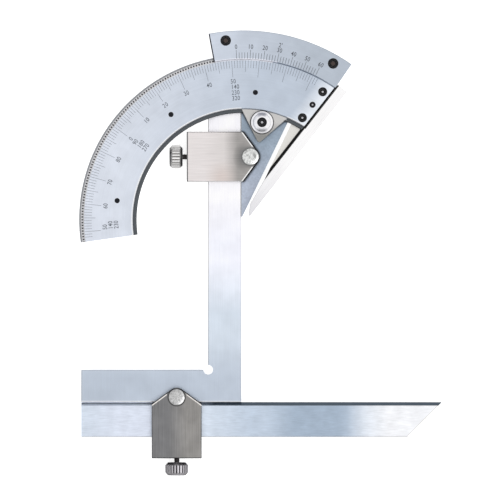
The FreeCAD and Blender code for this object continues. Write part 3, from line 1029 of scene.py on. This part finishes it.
# Fasteners
@dataclass
class SocketScrews:
    """Two cheese-head screws with a hexagon socket, in opposite corners of a node's box."""

    name: str
    node: str
    body: str
    rising: bool
    bright: Finish
    head_r: float
    shank_r: float
    floor_r: float
    socket_half: float = 1.0
    socket_lip: float = 0.07
    socket_depth: float = 0.8
    floor_heights: Pair = (0.25, 0.33)
    floor_tip: float = 0.38
    head_height: float = 1.1
    socket_margin: float = 0.28
    drill_r: float = 0.6
    drill_depth: float = 0.3
    shank_edge: float = 0.1
    edge: float = 0.16
    edge_share: float = 0.3

    def places(self) -> tuple[Vector, Vector]:
        """Find the screws from the corners of their node's box.

        Returns:
            The foot of each screw.
        """
        low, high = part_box(self.node)
        head = self.head_r * MM
        levels = (low.y + head, high.y - head)
        left, right = levels if self.rising else reversed(levels)
        return Vector((low.x + head, left, low.z)), Vector((high.x - head, right, low.z))

    def rings(self, length: float) -> tuple[tuple[float, float, Ring], ...]:
        """List the rings of a screw, from its foot over the head into the socket.

        Args:
            length: the screw's whole length, in millimetres.

        Returns:
            The rings.
        """
        back = length - self.head_height
        floor = length - self.socket_depth
        outer = self.socket_half + self.socket_lip
        step = self.edge * self.edge_share
        return (
            circles((0.0, 0.0), (self.shank_r - self.shank_edge, 0.0))
            + circles((self.shank_r, self.shank_edge), (self.shank_r, back))
            + circles((self.head_r, back), (self.head_r, length - self.edge))
            + circles((self.head_r - step, length - step), (self.head_r - self.edge, length))
            + circles((self.socket_half + self.socket_margin, length))
            + hexagons((outer, length), (self.socket_half, length - self.socket_lip))
            + hexagons((self.socket_half, floor))
            + circles((self.drill_r, floor), (0.0, floor - self.drill_depth))
        )

    def build(self) -> None:
        """Build the screws in place of the CAD node, and a disc on each socket's floor, a painted glint where
        its finish is the glint.
        """
        low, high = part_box(self.node)
        length = (high.z - low.z) / MM
        form = Turning(self.rings(length))
        mesh = bmesh.new()
        for place in self.places():
            form.add_to(mesh, Matrix.Translation(place))
        piece = mesh_piece(self.name, mesh, BLACK)
        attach(piece, self.body)
        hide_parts(self.node)
        rise = Vector((0.0, 0.0, (length - self.socket_depth - self.drill_depth) * MM))
        add_specks(
            self.name + "_socket_floors",
            self.body,
            self.bright,
            [place + rise for place in self.places()],
            (0.0, 0.0),
            *((self.floor_r, height) for height in self.floor_heights),
            (0.0, self.floor_tip),
        )


@dataclass
class ThumbScrew:
    """Thread of a knurled thumb screw, where it shows between knob and block."""

    name: str
    node: str
    body: str
    block: str
    along_y: bool
    finish: Finish
    root_r: float = 0.96
    crest_r: float = 1.16
    pitch: float = 0.45
    ridge_share: float = 0.42
    least_ridge: float = 0.05
    reach: float = 0.95
    steps: int = 20

    def span(self) -> tuple[Vector, float]:
        """Measure where the thread runs.

        Returns:
            Its end at the knob and its length, in metres.
        """
        axis = 1 if self.along_y else 0
        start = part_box(self.node)[0][axis] + KNOB_LENGTH * MM
        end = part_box(self.block)[0][axis] + self.reach * MM
        foot = middle_of(self.node)
        foot[axis] = start
        return foot, end - start

    def build(self) -> Piece:
        """Build the thread's ridge.

        Returns:
            The thread as one piece.
        """
        foot, length = self.span()
        axis, degrees = ("X", -90.0) if self.along_y else ("Y", 90.0)
        place = Matrix.Translation(foot) @ Matrix.Rotation(math.radians(degrees), 4, axis)
        count = int(length / (self.pitch * MM) * self.steps)
        half = self.pitch * MM * self.ridge_share
        root = self.root_r * MM
        mesh = bmesh.new()
        previous: list[bmesh.types.BMVert] = []
        for i in range(count + 1):
            angle = 2 * math.pi * i / self.steps
            height = half + (length - 2 * half) * i / count
            fade = max(min(1.0, i / self.steps, (count - i) / self.steps), self.least_ridge)
            crest = (self.root_r + (self.crest_r - self.root_r) * fade) * MM
            ring = [
                mesh.verts.new(place @ Vector((radius * math.cos(angle), radius * math.sin(angle), level)))
                for radius, level in ((root, height - half), (crest, height), (root, height + half))
            ]
            if previous:
                for a in range(3):
                    b = (a + 1) % 3
                    mesh.faces.new((previous[a], previous[b], ring[b], ring[a]))
            else:
                mesh.faces.new(ring)
            previous = ring
        mesh.faces.new(list(reversed(previous)))
        piece = mesh_piece(self.name, mesh, self.finish)
        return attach(piece, self.body)


@dataclass
class ClampPin:
    """Headed clamp pin with a crowned, hand-finished head.

    The crown is given by how far each ring is set in from the head's radius and
    how far it rises above the head's underside.
    """

    name: str
    node: str
    body: str
    finish: Finish
    head_r: float
    shank_r: float = 1.25
    head_height: float = 1.1
    under_edge: float = 0.12
    crown: tuple[Pair, ...] = (
        (0.0, 0.12), (0.0, 0.55), (0.08, 0.72), (0.3, 0.84), (0.9, 0.96), (1.7, 1.04), (2.6, 1.09)
    )
    sides: int = 64

    def build(self) -> Piece:
        """Build the pin and set it in place of the CAD node.

        Returns:
            The pin.
        """
        low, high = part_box(self.node)
        length = (high.z - low.z) / MM
        back = length - self.head_height
        shank = [(0.0, 0.0), (self.shank_r, 0.0), (self.shank_r, back), (self.head_r - self.under_edge, back)]
        crown = [(self.head_r - inset, back + rise) for inset, rise in self.crown]
        form = Turning(circles(*shank, *crown, (0.0, length)), self.sides)
        middle = middle_of(self.node)
        mesh = bmesh.new()
        form.add_to(mesh, Matrix.Translation((middle.x, middle.y, low.z)))
        piece = mesh_piece(self.name, mesh, self.finish)
        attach(piece, self.body)
        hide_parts(self.node)
        return piece


# Sub-assemblies
class SubAssembly(ABC):
    """Pieces that are dressed and built together."""

    @abstractmethod
    def finishes(self) -> dict[str, Finish]:
        """List the finish of each CAD node that stays."""

    def dress(self) -> None:
        """Give the CAD nodes their finishes."""
        for node, finish in self.finishes().items():
            wearing(node, finish)

    def build(self) -> None:
        """Build the group's own meshes, if it has any."""


@dataclass
class ScaleArc(SubAssembly):
    """Dial, its ring and the base blade: what swings about the arc's centre."""

    zero_deg: float = 144.3
    first_mark: int = -42
    last_mark: int = 82
    mark_outer: float = 66.2
    mark_inner: float = 63.1
    five_inner: float = 61.5
    ten_inner: float = 59.4
    row_radii: tuple[float, ...] = (57.7, 55.35, 53.0, 50.65)
    end_shift: float = 1.3
    bore_r: float = 46.6
    head_r: float = 1.85
    shank_r: float = 1.0
    floor_r: float = 0.42
    speck: tuple[Pair, ...] = ((0.0, 0.0), (0.34, 0.0), (0.34, 0.02), (0.0, 0.05))
    speck_sink: float = 0.01

    def finishes(self) -> dict[str, Finish]:
        """List the finishes of the scale.

        Returns:
            The finish of each CAD node.
        """
        left, right = ((corner.x - ARC_CENTRE.x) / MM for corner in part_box("lock_plate"))
        # colour of the painted shadow in the groove beside the blade's bar
        groove_shadow = (0.02, 0.02, 0.02)
        return {
            "dial_plate": GroundSteel(
                "dial_satin", (0.70, 0.74, 0.82), 0.42, Grain.ROUND, centre=ARC_FOOT,
                grain_tone=0.04, cloud_size=7.0, cloud_tone=0.05, wear=0.4, grime=0.1,
                zones=(
                    # painted shade: the right part of the dial darker
                    zone((0.52, 0.58, 0.67), Band(-22.0, soft=30.0)),
                    # painted light: lighter beside the blade
                    zone((0.80, 0.84, 0.90), Band(-8.5, soft=3.0, turn=ACROSS_BLADE)),
                    # painted highlight along the outer rim on the left
                    zone((0.95, 0.95, 0.98), by_radius(66.25), Band(end=12.0)),
                    # painted highlight along the inner edge, either side of the lock plate
                    zone((0.95, 0.96, 0.99), by_radius(end=self.bore_r), Band(end=left)),
                    zone((0.95, 0.96, 0.99), by_radius(end=self.bore_r), Band(right)),
                ),
            ),
            "gear_ring": GroundSteel(
                "ring_steel", (0.80, 0.80, 0.82), 0.38, Grain.ROUND, centre=ARC_FOOT,
                grain_tone=0.06, wear=0.2, grime=0.5,
                zones=(
                    # painted shade on the lip inside the dial's bore
                    zone((0.10, 0.11, 0.12), by_radius(end=self.bore_r)),
                    # painted light: the lip lighter behind the lock plate, so the gap there shows no shade
                    zone((0.95, 0.97, 1.0), by_radius(45.0, self.bore_r), Band(left + 0.4, right - 0.4)),
                    zone((0.33, 0.34, 0.36), by_radius(67.65)),
                    # painted shade in the tooth gaps below the dial's edge
                    zone((0.08, 0.08, 0.09), by_radius(66.3, 67.34), by_level(end=9.5)),
                ),
            ),
            "base_blade": GroundSteel(
                "blade_lapped", (0.99, 0.98, 0.985), 0.30, centre=ARC_FOOT, turn=ALONG_BLADE,
                grain_tone=0.02, grime=0.3,
                zones=(
                    # painted shade: the blade darker where it runs below 15 mm from the arc's centre
                    zone((0.76, 0.755, 0.79), Band(end=15.0, soft=16.0, turn=ALONG_BLADE)),
                    zone((0.80, 0.785, 0.75), Band(end=-4.6, turn=ACROSS_BLADE)),
                    # painted shadow in the groove beside the bar, wider past 45.5 mm along the blade
                    zone(groove_shadow, Band(-4.62, -3.37, turn=ACROSS_BLADE)),
                    zone(groove_shadow, Band(-4.62, -3.0, turn=ACROSS_BLADE), Band(45.5, turn=ALONG_BLADE)),
                ),
            ),
            "dial_pins": BlackOxide("jet_black", (0.007, 0.008, 0.012)),
            "blade_dowel": BLACK,
        }

    def marks(self) -> list[tuple[float, float, float]]:
        """List the degree lines.

        Returns:
            Direction, inner radius and outer radius of each.
        """
        found = []
        for mark in range(self.first_mark, self.last_mark + 1):
            inner = self.mark_inner
            if mark % 10 == 0:
                inner = self.ten_inner
            elif mark % 5 == 0:
                inner = self.five_inner
            found.append((self.zero_deg - mark, inner, self.mark_outer))
        return found

    def labels(self) -> list[Label]:
        """List the numbers of the dial.

        Returns:
            The numbers with their directions.
        """
        found = [Label(self.zero_deg + 40, ("50", "140", "230"), self.end_shift)]
        found += [Label(self.zero_deg - mark, (str(90 + mark),)) for mark in (-30, -20, -10)]
        found.append(Label(self.zero_deg, ("0", "90", "180", "270")))
        found += [Label(self.zero_deg - mark, (str(mark),)) for mark in (10, 20, 30, 40)]
        found.append(Label(self.zero_deg - 50, ("50", "140", "230", "320")))
        return found

    def build(self) -> None:
        """Engrave the dial, set its screws with a painted glint in each socket, and a painted glint at the
        centre of the dowel between them.
        """
        paint = EngravedPaint("engraved_paint", (0.05, 0.058, 0.075), (0.20, 0.22, 0.26))
        engraving = Engraving("dial", "scale", "dial_steel", top_of("dial_plate"), paint)
        engraving.lines(self.marks())
        engraving.numbers(self.labels(), self.row_radii)
        sizes = (self.head_r, self.shank_r, self.floor_r)
        SocketScrews("blade_screw_heads", "blade_screws", "scale", True, GLINT, *sizes).build()
        spot = below_top("blade_dowel", self.speck_sink)
        add_specks("dowel_centre", "scale", GLINT, [spot], *self.speck)


@dataclass
class Sector(SubAssembly):
    """Sector plate, vernier, lock plate and brake: what the rest hangs on."""

    zero_deg: float = 92.5
    divisions: int = 30
    span_deg: float = 29.0
    line_width: float = 0.16
    mark_inner: float = 66.98
    mark_outer: float = 69.5
    ten_outer: float = 70.6
    row_radii: tuple[float, ...] = (74.1, 71.95)
    head_r: float = 2.15
    shank_r: float = 1.1
    floor_r: float = 0.95
    socket_half: float = 1.2
    socket_lip: float = 0.2
    speck: tuple[Pair, ...] = ((0.0, 0.0), (0.5, 0.0), (0.5, 0.03), (0.0, 0.08))
    stud_socket_depth: float = 0.81

    def finishes(self) -> dict[str, Finish]:
        """List the finishes of the sector and the brake.

        Returns:
            The finish of each CAD node.
        """
        nut_foot = under(middle_of("brake_nut"))
        # painted shade: darker wedges above and below the stud
        shaded_wedges = ((90.0, (0.33, 0.335, 0.385)), (-90.0, (0.41, 0.415, 0.44)))
        nut = GroundSteel(
            "nut_turned", (0.98, 0.97, 1.0), 0.26, Grain.ROUND, centre=nut_foot, grain_pitch=0.3, grime=0.0,
            zones=(
                # painted reflection: the face greyer on its left half
                zone((0.82, 0.83, 0.88), by_radius(2.6, 4.2, 0.4), Band(end=-1.0)),
                *(
                    zone(
                        colour,
                        by_radius(2.7, 4.15, 0.4),
                        *(Band(0.0, soft=0.7, turn=side + lean) for lean in (-60.0, 60.0)),
                    )
                    for side, colour in shaded_wedges
                ),
                # painted shade: dark outline round the nut's rim near its top
                zone(PAINTED_EDGE_SHADE, by_radius(4.59), by_level(top_of("brake_nut") / MM - 0.85)),
            ),
        )
        return {
            "sector_plate": GroundSteel(
                "sector_steel", (0.33, 0.40, 0.485), 0.38, Grain.EVEN, centre=ARC_FOOT, grain_pitch=0.4,
                # strong corner darkening: painted shadow along the foot of the parts standing on the plate
                cloud_size=5.0, cloud_tone=0.09, grime=1.7, grime_reach=0.9,
                # painted light: the plate lighter below 23 mm above the arc's centre
                zones=(zone((0.45, 0.50, 0.60), Band(end=23.0, soft=9.0, turn=90.0)),),
            ),
            "vernier_plate": GroundSteel(
                "vernier_satin", (0.61, 0.66, 0.75), 0.42, Grain.ROUND, centre=ARC_FOOT,
                grain_tone=0.04, cloud_size=7.0, cloud_tone=0.05, wear=0.2, grime=0.3,
                zones=(
                    # painted shade: darker towards the right
                    zone((0.47, 0.52, 0.59), Band(9.0, soft=20.0)),
                    # painted highlight along the inner edge on the left
                    zone((0.86, 0.88, 0.96), by_radius(end=67.1), Band(end=14.0)),
                    # painted shade along the left end
                    zone(PAINTED_EDGE_SHADE, Band(-0.5, turn=190.7)),
                ),
            ),
            "lock_plate": GroundSteel(
                "lock_plate_steel", (0.59, 0.58, 0.57), 0.40, centre=nut_foot, turn=-30.0,
                grain_tone=0.06, wear=0.3, grime=0.2,
                zones=(
                    # painted shade: the plate darker below the nut
                    zone((0.29, 0.29, 0.28), Band(end=-2.8, soft=3.0, turn=90.0)),
                    # painted shadow round the foot of the nut
                    zone((0.05, 0.05, 0.05), by_radius(end=4.95, soft=0.15)),
                ),
            ),
            "brake_stud": BLACK,
            "brake_washer": nut,
            "brake_nut": nut,
            "pinion_bush": GroundSteel(
                "bush_bronze", (0.55, 0.36, 0.16), 0.32, Grain.ROUND, centre=PINION_FOOT
            ),
        }

    def marks(self) -> list[tuple[float, float, float]]:
        """List the lines of the vernier.

        Returns:
            Direction, inner radius and outer radius of each.
        """
        step = self.span_deg / self.divisions
        found = []
        for mark in range(self.divisions + 1):
            outer = self.ten_outer if mark % 5 == 0 else self.mark_outer
            found.append((self.zero_deg - mark * step, self.mark_inner, outer))
        return found

    def labels(self) -> list[Label]:
        """List the numbers of the vernier.

        Returns:
            The numbers with their directions, the unit above the middle one.
        """
        step = self.span_deg / 6
        found = []
        for i in range(7):
            above = "2'" if i == 3 else ""
            found.append(Label(self.zero_deg - i * step, (above, str(10 * i))))
        return found

    def build(self) -> None:
        """Engrave the vernier, set its screws and a painted glint on the floor of the brake stud's socket."""
        paint = EngravedPaint("dark_engraved_paint", (0.03, 0.035, 0.045), (0.12, 0.13, 0.16))
        level = top_of("vernier_plate")
        engraving = Engraving("vernier", "sector", "dial_steel", level, paint, self.line_width)
        engraving.lines(self.marks())
        engraving.numbers(self.labels(), self.row_radii)
        brown = BlackOxide("socket_floor_brown", (0.075, 0.055, 0.05), roughness=0.5)
        sizes = (self.head_r, self.shank_r, self.floor_r, self.socket_half, self.socket_lip)
        SocketScrews("vernier_screw_heads", "vernier_screws", "sector", False, brown, *sizes).build()
        spot = below_top("brake_stud", self.stud_socket_depth)
        add_specks("stud_centre", "sector", GLINT, [spot], *self.speck)


@dataclass
class FineAdjustment(SubAssembly):
    """Pinion, its knob on the back and the screw that holds it."""

    def finishes(self) -> dict[str, Finish]:
        """List the finishes of the fine adjustment.

        Returns:
            The finish of each CAD node.
        """
        return {
            "pinion_shaft": GEAR,
            "adjusting_knob": GroundSteel(
                "adjusting_knob_steel", (0.60, 0.60, 0.61), 0.30, Grain.ROUND, centre=PINION_FOOT,
                wear=0.5, grime=0.8,
            ),
            "knob_screw": BLACK,
        }


@dataclass
class Clamp(SubAssembly):
    """One clamp: block, pin, pressure shoe and thumb screw."""

    name: str
    block_body: str
    screw_body: str
    along_y: bool
    pin_head_r: float
    nose: float = 3.9
    slope_deg: float = 36.24
    past_head: Band = by_radius(4.25)
    past_knob: float = 0.05
    edge_depth: float = 0.4
    edge_skip: float = 0.03
    dark_thread: Colour = (0.12, 0.11, 0.11)

    @abstractmethod
    def pin_finish(self) -> Finish:
        """Return the finish of the pin's head."""

    @property
    def pin_foot(self) -> Point:
        """Return the place on the ground plane below the clamp pin."""
        return under(middle_of(self.name + "_clamp_pin"))

    @property
    def axis(self) -> int:
        """Return the number of the axis that the thumb screw lies along."""
        return 1 if self.along_y else 0

    def low_end(self) -> float:
        """Return where the block ends towards its thumb screw, from the pin."""
        return (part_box(self.name + "_clamp_block")[0][self.axis] - self.pin_foot[self.axis]) / MM

    def shank_start(self) -> float:
        """Return where the thumb screw's thread leaves its knob."""
        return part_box(self.name + "_thumb_screw")[0][self.axis] / MM + KNOB_LENGTH + self.past_knob

    def top_edges(self) -> Band:
        """Return the layer of the sides just below the blocks' upper face."""
        face = top_of("upper_clamp_block") / MM
        return by_level(face - self.edge_depth, face - self.edge_skip)

    def slopes(self, colour: Colour, width: float, *others: Band) -> list[Zone]:
        """Paint a line along both slopes of the block: a painted highlight or a painted shadow, by its
        colour.

        Args:
            colour: the line's colour.
            width: how far it reaches in from the slope.
            *others: further bands that bound it.

        Returns:
            One zone for each slope.
        """
        ahead = 90.0 * self.axis
        turns = (ahead - self.slope_deg, ahead + self.slope_deg)
        return [zone(colour, Band(self.nose - width, turn=turn), *others) for turn in turns]

    def build(self) -> None:
        """Set the crowned pin and the thread."""
        block, pin, screw = (self.name + end for end in ("_clamp_block", "_clamp_pin", "_thumb_screw"))
        head = (self.pin_finish(), self.pin_head_r)
        ClampPin(self.name + "_pin_crowned", pin, self.block_body, *head).build()
        ThumbScrew(self.name + "_thread", screw, self.screw_body, block, self.along_y, THREAD).build()


@dataclass
class UpperClamp(Clamp):
    """The clamp on the sector plate, which holds the square."""

    name: str = "upper"
    block_body: str = "sector"
    screw_body: str = "upper_screw"
    along_y: bool = False
    pin_head_r: float = 3.44

    def finishes(self) -> dict[str, Finish]:
        """List the finishes of the upper clamp.

        Returns:
            The finish of each CAD node.
        """
        shank = self.shank_start()
        warm = (Band(-16.0, -8.0, 3.0), Band(end=-4.5, soft=3.0, turn=90.0))
        return {
            "upper_clamp_block": GroundSteel(
                "upper_clamp_brushed", (0.81, 0.765, 0.76), 0.36, centre=self.pin_foot,
                grain_tone=0.11, cloud_tone=0.05, wear=0.15, grime=0.7,
                zones=(
                    # painted shade: darker towards the pin end, darkest past -8.3 mm
                    zone((0.74, 0.70, 0.69), Band(-15.5, soft=4.0)),
                    zone((0.38, 0.365, 0.355), Band(-8.3, soft=2.8)),
                    zone((0.68, 0.58, 0.54), *warm, strength=0.6),
                    # painted shade round the pin, heaviest on its left side
                    zone((0.15, 0.15, 0.15), by_radius(end=5.2, soft=2.3), Band(end=-2.0, soft=2.0)),
                    zone((0.22, 0.22, 0.22), by_radius(end=4.3, soft=0.8)),
                    # painted highlight along the lower top edge
                    zone((0.95, 0.93, 0.93), self.top_edges(), Band(end=-9.9, turn=90.0)),
                    # painted shade along the block's end towards the thumb screw
                    zone((0.24, 0.24, 0.24), Band(end=self.low_end() + 0.5)),
                    # painted highlight inside both slopes, then painted shadow along their edges
                    *self.slopes((1.0, 1.0, 1.0), 0.95, self.past_head),
                    *self.slopes(PAINTED_EDGE_SHADE, 0.55),
                ),
            ),
            "upper_thumb_screw": GroundSteel(
                "knob_steel", (0.90, 0.89, 0.88), 0.34, grain_length=4.0, wear=0.5, grime=0.6,
                zones=(
                    # painted shade: darker bands at both ends of the knob
                    zone((0.30, 0.30, 0.30), Band(end=shank - 4.75, soft=0.25)),
                    zone((0.20, 0.20, 0.20), Band(shank - 0.8, soft=0.25)),
                    zone(self.dark_thread, Band(shank)),
                ),
            ),
            "upper_shoe": GEAR,
        }

    def pin_finish(self) -> Finish:
        """Return the bright, blotched finish of the pin's head."""
        return GroundSteel(
            "pin_head_steel", (0.76, 0.77, 0.76), 0.24, Grain.ROUND, centre=self.pin_foot,
            grain_pitch=1.2, grain_tone=0.22, grain_depth=0.03, blotch_tone=0.4,
        )


@dataclass
class LowerClamp(Clamp):
    """The clamp on the square, which holds the rule."""

    name: str = "lower"
    block_body: str = "square"
    screw_body: str = "lower_screw"
    along_y: bool = True
    pin_head_r: float = 3.36

    def finishes(self) -> dict[str, Finish]:
        """List the finishes of the lower clamp.

        Returns:
            The finish of each CAD node.
        """
        middle = middle_of("lower_thumb_screw").z / MM
        return {
            "lower_clamp_block": GroundSteel(
                "lower_clamp_brushed", (0.205, 0.205, 0.21), 0.36, centre=self.pin_foot, turn=90.0,
                grain_tone=0.14, grain_pitch=0.2, cloud_size=6.0, cloud_tone=0.10, wear=0.15, grime=0.7,
                zones=(
                    zone((0.295, 0.285, 0.275), Band(0.5, soft=4.0)),
                    # painted shadow along the lower top edge and along the end towards the thumb screw
                    zone(PAINTED_EDGE_SHADE, self.top_edges(), Band(end=-3.0, turn=90.0), strength=0.5),
                    zone(PAINTED_EDGE_SHADE, Band(end=self.low_end() + 0.35, turn=90.0)),
                    # painted shadow round the pin
                    zone((0.07, 0.07, 0.07), by_radius(end=3.75, soft=0.2)),
                    # painted highlight inside both slopes, then painted shadow along their edges
                    *self.slopes((0.85, 0.82, 0.79), 0.8, self.past_head),
                    *self.slopes(PAINTED_EDGE_SHADE, 0.35),
                ),
            ),
            "lower_thumb_screw": GroundSteel(
                "lower_knob_steel", (0.58, 0.56, 0.59), 0.38, turn=90.0, grain_length=4.0,
                wear=0.5, grime=0.9,
                zones=(
                    # painted shade: the knob darker all round but for a light strip along its top
                    zone((0.33, 0.32, 0.34), by_level(end=middle + 3.3, soft=0.9)),
                    zone(self.dark_thread, Band(self.shank_start(), turn=90.0)),
                ),
            ),
            "lower_shoe": GEAR,
        }

    def pin_finish(self) -> Finish:
        """Return the duller finish of the pin's head."""
        return GroundSteel(
            "lower_pin_head_steel", (0.56, 0.56, 0.56), 0.28, Grain.ROUND, centre=self.pin_foot,
            grain_pitch=1.1, grain_tone=0.28, grain_depth=0.02, blotch_tone=0.15,
        )


@dataclass
class SquareAndRule(SubAssembly):
    """The square and the rule that slides in its clamp."""

    bevel: float = 1.35
    bevel_middle: float = 0.85
    bevel_crest: float = 0.32
    cut_line: float = 0.3
    foot_line: float = 0.5

    def finishes(self) -> dict[str, Finish]:
        """List the finishes of the square and the rule.

        Returns:
            The finish of each CAD node.
        """
        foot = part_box("square")[0].y / MM
        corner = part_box("rule")[1]
        top = corner.y / MM
        cut = (corner.x - corner.y) / MM / math.sqrt(2.0)
        left = Band(end=-28.0, soft=9.0)
        return {
            "square": GroundSteel(
                "square_ground", (0.51, 0.57, 0.66), 0.36, turn=90.0,
                grain_tone=0.04, cloud_size=9.0, cloud_tone=0.05, wear=0.6, grime=0.1,
                zones=(
                    # painted reflections: the stem lighter towards its top
                    zone((0.67, 0.74, 0.83), Band(-43.0, soft=9.0, turn=90.0)),
                    zone((0.91, 0.92, 1.0), Band(-14.0, soft=11.0, turn=90.0)),
                    zone((0.96, 0.95, 0.99), Band(14.0, soft=10.0, turn=90.0)),
                    # painted highlight along the bottom edge
                    zone((0.95, 0.96, 1.0), Band(end=foot + self.foot_line, turn=90.0)),
                ),
            ),
            "rule": GroundSteel(
                "rule_ground", (0.66, 0.73, 0.83), 0.36,
                grain_tone=0.11, grain_length=4.0, cloud_size=4.0, cloud_tone=0.05, grime=0.1,
                zones=(
                    # painted reflections: tone changing along the rule
                    zone((0.715, 0.765, 0.875), Band(-66.0, -38.0, 8.0)),
                    zone((0.53, 0.61, 0.72), Band(-13.0, 42.0, 9.0)),
                    zone((0.375, 0.455, 0.56), Band(8.0, 38.0, 6.0)),
                    zone((0.86, 0.87, 0.90), Band(44.5, soft=8.5)),
                    zone((0.62, 0.60, 0.58), Band(cut - self.cut_line, turn=-45.0)),
                    # painted reflection: dark bevel along the top edge, lighter with a bright crest on the
                    # left
                    zone((0.11, 0.14, 0.175), Band(top - self.bevel, turn=90.0)),
                    zone((0.62, 0.67, 0.75), Band(top - self.bevel, turn=90.0), left),
                    zone((0.32, 0.35, 0.39), Band(top - self.bevel_middle, turn=90.0), left),
                    zone((0.90, 0.93, 1.00), Band(top - self.bevel_crest, turn=90.0), left),
                ),
            ),
        }


@dataclass
class Studio:
    """Plain pale floor, soft light and the camera straight above.

    The distance, the floor's half width and all of the lamp are in metres.
    """

    view_shift: Pair = (2.66, -12.55)
    view_width: float = 207.75
    view_level: float = 9.0
    distance: float = 3.0
    sensor: float = 36.0
    farthest: float = 50.0
    floor_half: float = 6.0
    floor_drop: float = 0.05
    zenith: float = 1.12
    bright_side: float = 1.0
    dark_side: float = 0.6
    bright_deg: float = 25.0
    side_span: Pair = (-0.7, 0.7)
    height_span: Pair = (0.15, 0.75)
    lamp_size: float = 1.4
    lamp_power: float = 8.0
    lamp_place: Point = (0.9, -0.6, 1.4)

    def add_floor(self) -> None:
        """Lay the floor under the tool, kept out of the steel's reflections."""
        mesh = bmesh.new()
        half = self.floor_half
        level = -self.floor_drop * MM
        corners = ((-half, -half), (half, -half), (half, half), (-half, half))
        mesh.faces.new([mesh.verts.new((x, y, level)) for x, y in corners])
        piece = mesh_piece("floor", mesh, PaleFloor())
        piece.visible_glossy = False

    def add_sky(self) -> None:
        """Set the soft dome, brighter low on one side."""
        world = bpy.data.worlds.new("soft_dome")
        sheet = NodeSheet(world)
        coordinates = sheet.add("TexCoord").outputs["Generated"]
        side = sheet.add("VectorMath", operation="DOT_PRODUCT")
        angle = math.radians(self.bright_deg)
        sheet.feed(side, 0, coordinates)
        sheet.feed(side, 1, (math.cos(angle), math.sin(angle), 0.0))
        sides = (self.dark_side, self.bright_side)
        low = sheet.spread(side.outputs["Value"], self.side_span, sides, "SMOOTHSTEP")
        height = sheet.parts(coordinates)[2]
        sky = sheet.spread(height, self.height_span, (low, self.zenith), "SMOOTHSTEP")
        background = sheet.add("Background")
        sheet.feed(background, "Strength", sky)
        sheet.feed(sheet.add("OutputWorld"), "Surface", background.outputs[0])
        bpy.context.scene.world = world

    def add_lamp(self) -> None:
        """Set one broad lamp, aimed at the tool."""
        lamp = bpy.data.lights.new("broad_lamp", "AREA")
        lamp.shape = "RECTANGLE"
        lamp.size = self.lamp_size
        lamp.size_y = self.lamp_size
        lamp.energy = self.lamp_power
        holder = bpy.data.objects.new("broad_lamp", lamp)
        holder.location = self.lamp_place
        holder.rotation_euler = (-holder.location).to_track_quat("-Z", "Y").to_euler()
        bpy.context.scene.collection.objects.link(holder)

    def add_camera(self) -> None:
        """Set the camera straight above, far off so that the view is flat."""
        lens = bpy.data.cameras.new("camera")
        lens.sensor_width = self.sensor
        lens.lens = self.sensor * self.distance / (self.view_width * MM)
        lens.clip_end = self.farthest
        camera = bpy.data.objects.new("camera", lens)
        across, along = (shift * MM for shift in self.view_shift)
        level = self.view_level * MM + self.distance
        camera.location = (ARC_CENTRE.x + across, ARC_CENTRE.y + along, level)
        bpy.context.scene.collection.objects.link(camera)
        bpy.context.scene.camera = camera

    def build(self) -> None:
        """Set up the whole studio."""
        self.add_floor()
        self.add_sky()
        self.add_lamp()
        self.add_camera()
        bpy.context.scene.view_settings.view_transform = "Standard"


def main() -> None:
    """Build every sub-assembly in order, then the studio."""
    logging.basicConfig(level=logging.INFO, format="%(name)s: %(message)s")
    for kind in (ScaleArc, Sector, FineAdjustment, UpperClamp, LowerClamp, SquareAndRule):
        group = kind()
        group.dress()
        group.build()
        LOG.info("%s done", kind.__name__)
    Studio().build()
    LOG.info("studio: floor, light and camera set")


if __name__ == "__main__":
    main()
